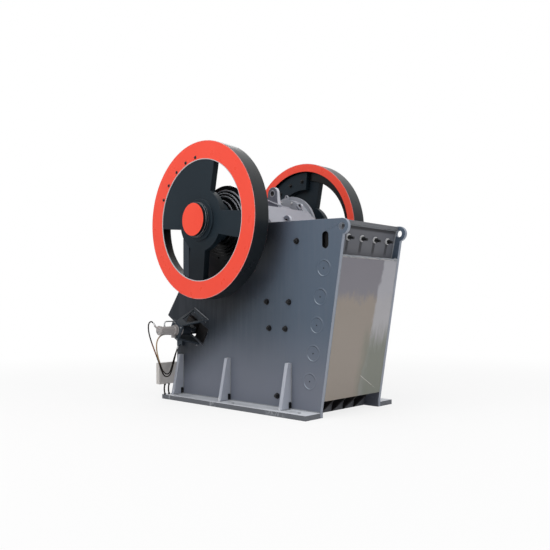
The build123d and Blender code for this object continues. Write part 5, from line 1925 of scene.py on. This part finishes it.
@dataclass
class AdjustingUnit:
    """Brackets and cylinders at the side openings, the toggle and the tension spring."""

    layout: Layout
    palette: Palette
    bracket_end: float = 0.831
    bracket_tip: float = 0.190
    bracket_plate: float = 0.020
    bracket_rise: float = 0.214
    opening_width: float = 0.224
    cylinder_end: float = 1.066
    end_bolt: BoltSize = BoltSize(0.009, 0.008, 0.011, 0.002, 0.005, 0.005)
    tie_nut: BoltSize = BoltSize(0.009, 0.008, 0.0, 0.0, 0.006, 0.005)
    tie_circle: float = 0.031
    end_inset: float = 0.020
    foot_bolt: tuple[float, float] = (0.11, 0.045)
    bracket_weld: tuple[float, float] = (0.145, 0.006)
    collars: tuple[Profile, ...] = (
        ((0.047, -0.024), (0.050, -0.027), (0.050, -0.034), (0.047, -0.037)),
        ((0.047, -0.200), (0.053, -0.203), (0.053, -0.214), (0.047, -0.217)))
    end_plate: Profile = ((0.044, 0.0), (0.044, 0.003), (0.040, 0.005), (0.0, 0.005))
    spring_start: float = -0.400
    spring_end: float = -0.220
    spring_below: float = 0.225
    spring_radius: float = 0.051
    spring_wire: float = 0.0105
    spring_turns: int = 5
    spring_steps: int = 32

    def build(self, nodes: dict) -> None:
        """Dresses the unit and adds its bolts, welds and spring.

        Args:
            nodes: The frame's nodes.
        """
        paint = self.palette
        paint.dress(nodes, "dark_bracket", "cylinder_bracket_left", "cylinder_bracket_right")
        paint.dress(nodes, "cylinder_enamel", "adjusting_cylinder_left", "adjusting_cylinder_right")
        paint.dress(nodes, "dark_bracket", "hose_blocks")
        paint.dress(nodes, "zinc", "cylinder_pipes")
        paint.dress(nodes, "scaled_plate", "rear_wedge", "front_wedge", "toggle_block", "toggle_plate")
        paint.dress(nodes, "spring_steel", "tension_rod")
        for name in ("cylinder_bracket_left", "cylinder_bracket_right", "toggle_block", "toggle_plate"):
            soften(nodes[name], 0.0025)
        for side in Side:
            self._bracket_bolts(side)
            self._bracket_welds(side)
            self._cylinder_details(side)
        self._spring()

    def _bracket_bolts(self, side: Side) -> None:
        """Bolts at the corners of the end plate and on the side plate beside the opening.

        Args:
            side: The side of the machine.
        """
        place = self.layout
        shape = Shape()
        out = side.value
        corner = self.bracket_tip / 2 - self.end_inset
        for s in (-corner, corner):
            for n in (-corner, corner):
                seat = place.line(s, n, out * self.bracket_end)
                shape.bolt(seat, (0, out, 0), self.end_bolt, 15)
        along, beside = self.foot_bolt
        for s in (-along, along):
            for n in (self.bracket_rise - beside, -self.opening_width / 2 - beside):
                seat = place.line(s, n, out * place.half)
                shape.bolt(seat, (0, out, 0), self.end_bolt, 40)
        shape.build(f"bracket_bolts_{side.label}", self.palette["weld_metal"], Body.FRAME, Slot.STEEL)

    def _bracket_welds(self, side: Side) -> None:
        """Beads where the bracket's plates meet the side plate.

        Args:
            side: The side of the machine.
        """
        place = self.layout
        rng = random.Random(SEED + 11 + side.value)
        shape = Shape()
        y = side.value * place.half
        reach, radius = self.bracket_weld
        for n in (self.bracket_rise, -self.opening_width / 2 - self.bracket_plate):
            shape.bead([place.line(-reach, n, y), place.line(reach, n, y)], radius, rng)
        shape.build(f"bracket_welds_{side.label}", self.palette["weld_metal"], Body.FRAME, Slot.DARK)

    def _cylinder_details(self, side: Side) -> None:
        """Collars, tie nuts and the raised end plate of a cylinder.

        Args:
            side: The side of the machine.
        """
        place = self.layout
        bands = Shape()
        nuts = Shape()
        out = side.value
        centre = place.line(0, 0, out * self.cylinder_end)
        frame = frame_at(centre, (0, out, 0))
        for collar in self.collars:
            bands.lathe(collar, frame, 48, closed=True)
        bands.lathe(self.end_plate, frame, 48)
        for i in range(4):
            a = math.radians(45 + 90 * i)
            r = self.tie_circle
            seat = frame @ Vector((r * math.cos(a), r * math.sin(a), self.end_plate[-1][1]))
            nuts.bolt(seat, (0, out, 0), self.tie_nut, 20 * i)
        enamel = self.palette["cylinder_enamel"]
        bands.build(f"cylinder_bands_{side.label}", enamel, Body.FRAME, Slot.CYLINDER)
        nuts.build(f"cylinder_tie_nuts_{side.label}", self.palette["zinc"], Body.FRAME, Slot.STEEL)

    def _spring(self) -> None:
        """The tension spring as a coil of even pitch."""
        place = self.layout
        along, up = place.line_axes()
        across = Vector((0, 1, 0))
        start = place.line(self.spring_start, -self.spring_below)
        length = self.spring_end - self.spring_start
        steps = self.spring_steps * self.spring_turns
        line = []
        for i in range(steps + 1):
            share = i / steps
            a = 2 * math.pi * self.spring_turns * share
            rise = self.spring_wire + (length - 2 * self.spring_wire) * share
            around = (up * math.cos(a) + across * math.sin(a)) * self.spring_radius
            line.append(start + along * rise + around)
        shape = Shape().tube(line, [self.spring_wire] * len(line), 14)
        spring = shape.build("tension_spring_coil", self.palette["spring_steel"], Body.FRAME, Slot.STEEL)
        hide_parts("tension_spring")


@dataclass
class Hoses:
    """Hydraulic hoses on both sides, with their crimped ends."""

    palette: Palette
    diameter: float = 0.015
    lengths: tuple[float, float] = (1.274, 1.078)
    crimp_length: float = 0.030
    crimp_radius: float = 0.0095
    crimp_nut: Profile = ((0.0, -0.001), (0.0115, -0.001), (0.0115, 0.009), (0.010, 0.011), (0.0, 0.011))
    outer: tuple[Point, ...] = (
        (-0.920, -1.092, 0.906), (-0.940, -1.094, 0.932), (-0.972, -1.096, 0.944), (-1.006, -1.096, 0.936),
        (-1.030, -1.094, 0.908), (-1.042, -1.088, 0.862), (-1.044, -1.076, 0.796), (-1.034, -1.052, 0.706),
        (-1.020, -1.018, 0.606), (-1.016, -0.968, 0.484), (-1.024, -0.924, 0.386), (-1.031, -0.896, 0.332),
        (-1.031, -0.868, 0.298), (-1.026, -0.832, 0.284), (-1.022, -0.798, 0.300), (-1.028, -0.770, 0.336),
        (-1.046, -0.734, 0.400), (-1.072, -0.690, 0.474), (-1.102, -0.646, 0.544), (-1.132, -0.606, 0.590),
        (-1.144, -0.582, 0.618))
    inner: tuple[Point, ...] = (
        (-0.894, -0.868, 0.793), (-0.898, -0.902, 0.794), (-0.906, -0.944, 0.796), (-0.924, -0.984, 0.788),
        (-0.946, -1.006, 0.764), (-0.968, -1.018, 0.724), (-0.984, -1.018, 0.668), (-0.994, -1.004, 0.588),
        (-0.998, -0.974, 0.496), (-1.004, -0.938, 0.412), (-1.009, -0.908, 0.362), (-1.008, -0.880, 0.332),
        (-1.004, -0.850, 0.318), (-1.004, -0.820, 0.328), (-1.012, -0.792, 0.358), (-1.032, -0.756, 0.412),
        (-1.060, -0.710, 0.480), (-1.088, -0.664, 0.542), (-1.110, -0.622, 0.586), (-1.116, -0.600, 0.618))

    def build(self) -> None:
        """Adds the four hoses and their ends."""
        for side in Side:
            for letter, route, length in zip("ab", (self.outer, self.inner), self.lengths):
                self._hose(side, letter, route)

    def _hose(self, side: Side, letter: str, route: Sequence[Point]) -> None:
        """One hose on its route, mirrored for the right side.

        Args:
            side: The side of the machine.
            letter: Which of the side's two hoses, a or b.
            route: Points of the left hose's route.
        """
        line = [Vector((x, y * -side.value, z)) for x, y, z in route]
        name = f"hose_{side.label}_{letter}"
        curve = bpy.data.curves.new(name + "_line", "CURVE")
        curve.dimensions = "3D"
        spline = curve.splines.new("NURBS")
        spline.points.add(len(line) - 1)
        for point, place in zip(spline.points, line):
            point.co = (*place, 1.0)
        spline.order_u = 3
        spline.use_endpoint_u = True
        spline.resolution_u = 8
        curve.bevel_depth = self.diameter / 2
        curve.bevel_resolution = 5
        curve.use_fill_caps = True
        cover = "hose_cover" if letter == "a" else "hose_cover_rubbed"
        curve.materials.append(self.palette[cover])
        piece = stand(name + "_cover", curve)
        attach(piece, Body.FRAME.value)
        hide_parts(name)
        LOG.info("%s: %d points", name, len(line))
        self._crimps(name, line)

    def _crimps(self, name: str, line: Sequence[Vector]) -> None:
        """Crimped sleeves and hexagons at both ends of a hose.

        Args:
            name: The hose's name.
            line: Points of the hose's route.
        """
        shape = Shape()
        r, length = self.crimp_radius, self.crimp_length
        for end, inside in ((line[0], line[1]), (line[-1], line[-2])):
            frame = frame_at(end, inside - end)
            sleeve = [(r, 0.0), (r, length * 0.3), (r * 0.92, length * 0.36), (r, length * 0.42),
                      (r, length * 0.86), (r * 0.82, length), (r * 0.6, length)]
            shape.lathe(sleeve, frame, 24)
            shape.lathe(self.crimp_nut, frame_at(end, end - inside), 6)
        shape.build(name + "_ends", self.palette["zinc"], Body.FRAME, Slot.STEEL)


@dataclass
class ConnectionBox:
    """Small steel box on the rear left rib, with its door and conduits."""

    palette: Palette
    lid: float = 0.006
    lid_bevel: float = 0.002
    margin: float = 0.010
    conduit_radius: float = 0.010
    conduit_ridges: int = 44
    ridge: float = 0.0018
    bulge: float = 0.011
    screw: BoltSize = BoltSize(0.005, 0.003, 0.007, 0.001)
    gland_nut: Profile = ((0.0, 0.0), (0.014, 0.0), (0.014, 0.008), (0.012, 0.010), (0.0, 0.010))
    gland_neck: Profile = ((0.0115, 0.010), (0.0115, 0.018), (0.0095, 0.021), (0.0, 0.021))

    def build(self, nodes: dict) -> None:
        """Dresses the box and adds its door, screws and conduits.

        Args:
            nodes: The frame's nodes.
        """
        self.palette.dress(nodes, "box_enamel", "connection_box")
        soften(nodes["connection_box"], 0.003)
        self._door()
        self._conduits()

    def _door(self) -> None:
        """Raised door on the rear face, with its screws."""
        low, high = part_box("connection_box")
        door = Shape()
        screws = Shape()
        m = self.margin
        x = low.x
        outline = [Vector((x, low.y + m, low.z + m)), Vector((x, low.y + m, high.z - m)),
                   Vector((x, high.y - m, high.z - m)), Vector((x, high.y - m, low.z + m))]
        door.slab(outline, Vector((-self.lid, 0, 0)), self.lid_bevel)
        for y in (low.y + 2 * m, high.y - 2 * m):
            for z in (low.z + 2 * m, high.z - 2 * m):
                screws.bolt(Vector((x - self.lid, y, z)), (-1, 0, 0), self.screw)
        door.build("box_door", self.palette["box_enamel"], Body.FRAME, Slot.BOX)
        screws.build("box_screws", self.palette["zinc"], Body.FRAME, Slot.STEEL)

    def _conduits(self) -> None:
        """Ribbed conduits with their glands, from the box down to the base flange."""
        low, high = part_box("box_conduits")
        tubes = Shape()
        glands = Shape()
        x = (low.x + high.x) / 2
        for y in (low.y + self.conduit_radius, high.y - self.conduit_radius):
            line = []
            radii = []
            for i in range(self.conduit_ridges + 1):
                share = i / self.conduit_ridges
                z = high.z + (low.z - high.z) * share
                line.append(Vector((x - self.bulge * math.sin(math.pi * share), y, z)))
                radii.append(self.conduit_radius - (self.ridge if i % 2 else 0.0))
            tubes.tube(line, radii, 18)
            for z, down in ((high.z, -1), (low.z, 1)):
                frame = frame_at((x, y, z), (0, 0, down))
                glands.lathe(self.gland_nut, frame, 6)
                glands.lathe(self.gland_neck, frame, 24)
        conduit = tubes.build("conduits", self.palette["conduit_cover"], Body.FRAME, Slot.RUBBER, 25)
        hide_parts("box_conduits")
        glands.build("conduit_glands", self.palette["black_steel"], Body.FRAME, Slot.DARK)


@dataclass(frozen=True)
class Panel:
    """A square soft lamp, with the length of its side in metres and its power in watts."""

    name: str
    place: Point
    target: Point
    size: float
    power: float

    def build(self) -> None:
        """Hangs the lamp and points it at its target."""
        data = bpy.data.lights.new(self.name, "AREA")
        data.shape = "SQUARE"
        data.size = self.size
        data.energy = self.power
        lamp = stand(self.name, data)
        lamp.location = self.place
        aim(lamp, Vector(self.target) - Vector(self.place))


@dataclass
class Studio:
    """Camera, lights, floor and world."""

    place: Point = (5.3068, -5.6344, 1.1737)
    azimuth: float = 42.314
    fall: float = 0.305
    focal_pixels: float = 662.18
    picture: float = 550.0
    centre: tuple[float, float] = (290.0, 305.0)
    sensor: float = 36.0
    fill: float = 0.46
    floor_colour: Colour = (0.80, 0.80, 0.80, 1.0)
    floor_reach: float = 80.0
    floor_fade: tuple[float, float] = (5.0, 3.5)
    floor_white: tuple[float, float] = (0.2, 0.8)
    white: Colour = (1.0, 1.0, 1.0, 1.0)
    dusk: Colour = (0.45, 0.45, 0.46, 1.0)
    horizon: tuple[float, float] = (0.35, 0.35)
    panels: tuple[Panel, ...] = (
        Panel("sky_panel", (1.0, -1.5, 7.5), (0.0, 0.0, 0.6), 6.0, 250.0),
        Panel("front_panel", (8.5, 0.5, 4.2), (0.6, 0.0, 1.1), 4.0, 210.0),
        Panel("side_panel", (-1.0, -8.5, 4.5), (0.0, -0.5, 1.3), 4.5, 235.0),
        Panel("rear_panel", (-6.0, 5.5, 5.5), (-0.2, 0.0, 1.3), 4.0, 130.0))

    def build(self) -> None:
        """Makes the camera, the floor, the world and the lamps."""
        self._camera()
        self._floor()
        self._world()
        for panel in self.panels:
            panel.build()

    def _camera(self) -> None:
        """The camera at the photograph's viewing angle."""
        data = bpy.data.cameras.new("view")
        data.sensor_width = self.sensor
        data.lens = self.focal_pixels / self.picture * self.sensor
        data.shift_x = (self.picture / 2 - self.centre[0]) / self.picture
        data.shift_y = (self.centre[1] - self.picture / 2) / self.picture
        data.clip_end = 200.0
        camera = stand("view", data)
        a, e = math.radians(self.azimuth), math.radians(self.fall)
        ahead = Vector((-math.sin(a) * math.cos(e), math.cos(a) * math.cos(e), -math.sin(e)))
        camera.location = self.place
        aim(camera, ahead)
        bpy.context.scene.camera = camera

    def _floor(self) -> None:
        """A wide pale floor that the camera sees nearly white, and white far out."""
        mesh = bpy.data.meshes.new("floor")
        r = self.floor_reach
        mesh.from_pydata([(-r, -r, 0), (r, -r, 0), (r, r, 0), (-r, r, 0)], [], [(0, 1, 2, 3)])
        material = bpy.data.materials.new("floor")
        material.use_nodes = True
        graph = Graph(material.node_tree)
        plain = graph.make("ShaderNodeBsdfDiffuse", {}, {"Color": self.floor_colour})
        lift = graph.make("ShaderNodeEmission", {}, {"Color": self.white, "Strength": 1.0})
        far = graph.math("SQRT", graph.axis("X") ** 2 + graph.axis("Y") ** 2).above(*self.floor_fade)
        gain, least = self.floor_white
        seen = graph.make("ShaderNodeLightPath", {}, {}, "Is Camera Ray") * (far * gain + least)
        mixed = graph.make("ShaderNodeMixShader", {}, {0: seen, 1: plain, 2: lift})
        graph.make("ShaderNodeOutputMaterial", {}, {"Surface": mixed})
        mesh.materials.append(material)
        floor = stand("floor", mesh)

    def _world(self) -> None:
        """White where it is seen, and elsewhere a sky that pales upward, dimmed where it only lights."""
        world = bpy.data.worlds.new("studio")
        bpy.context.scene.world = world
        world.use_nodes = True
        graph = Graph(world.node_tree)
        up = graph.make("ShaderNodeTexCoord", {}, {}, "Generated")
        height = graph.make("ShaderNodeSeparateXYZ", {}, {0: up}, "Z")
        sky = graph.blend(height.above(*self.horizon), self.dusk, self.white)
        camera, glossy, through = (graph.make("ShaderNodeLightPath", {}, {}, f"Is {kind} Ray")
                                   for kind in ("Camera", "Glossy", "Transmission"))
        light = graph.make("ShaderNodeBackground", {}, {"Color": sky, "Strength": self.fill})
        backdrop = {"Color": graph.blend(camera, sky, self.white), "Strength": 1.0}
        seen = graph.make("ShaderNodeBackground", {}, backdrop)
        shown = camera.most(glossy).most(through)
        mixed = graph.make("ShaderNodeMixShader", {}, {0: shown, 1: light, 2: seen})
        graph.make("ShaderNodeOutputWorld", {}, {"Surface": mixed})


def main() -> None:
    """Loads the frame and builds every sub-assembly in order."""
    logging.basicConfig(level=logging.INFO, format="%(name)s %(message)s")
    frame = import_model()
    layout = Layout.measure()
    palette = Palette(layout)
    nodes = frame["nodes"]
    Studio().build()
    Hoses(palette).build()
    WeldedFrame(layout, palette).build(nodes)
    FrontWall(layout, palette).build(nodes)
    Bearings(layout, palette).build(nodes)
    Flywheels(layout, palette).build(nodes)
    SwingJaw(layout, palette).build(nodes)
    AdjustingUnit(layout, palette).build(nodes)
    ConnectionBox(palette).build(nodes)
    bpy.context.scene.view_settings.view_transform = "Standard"


if __name__ == "__main__":
    main()
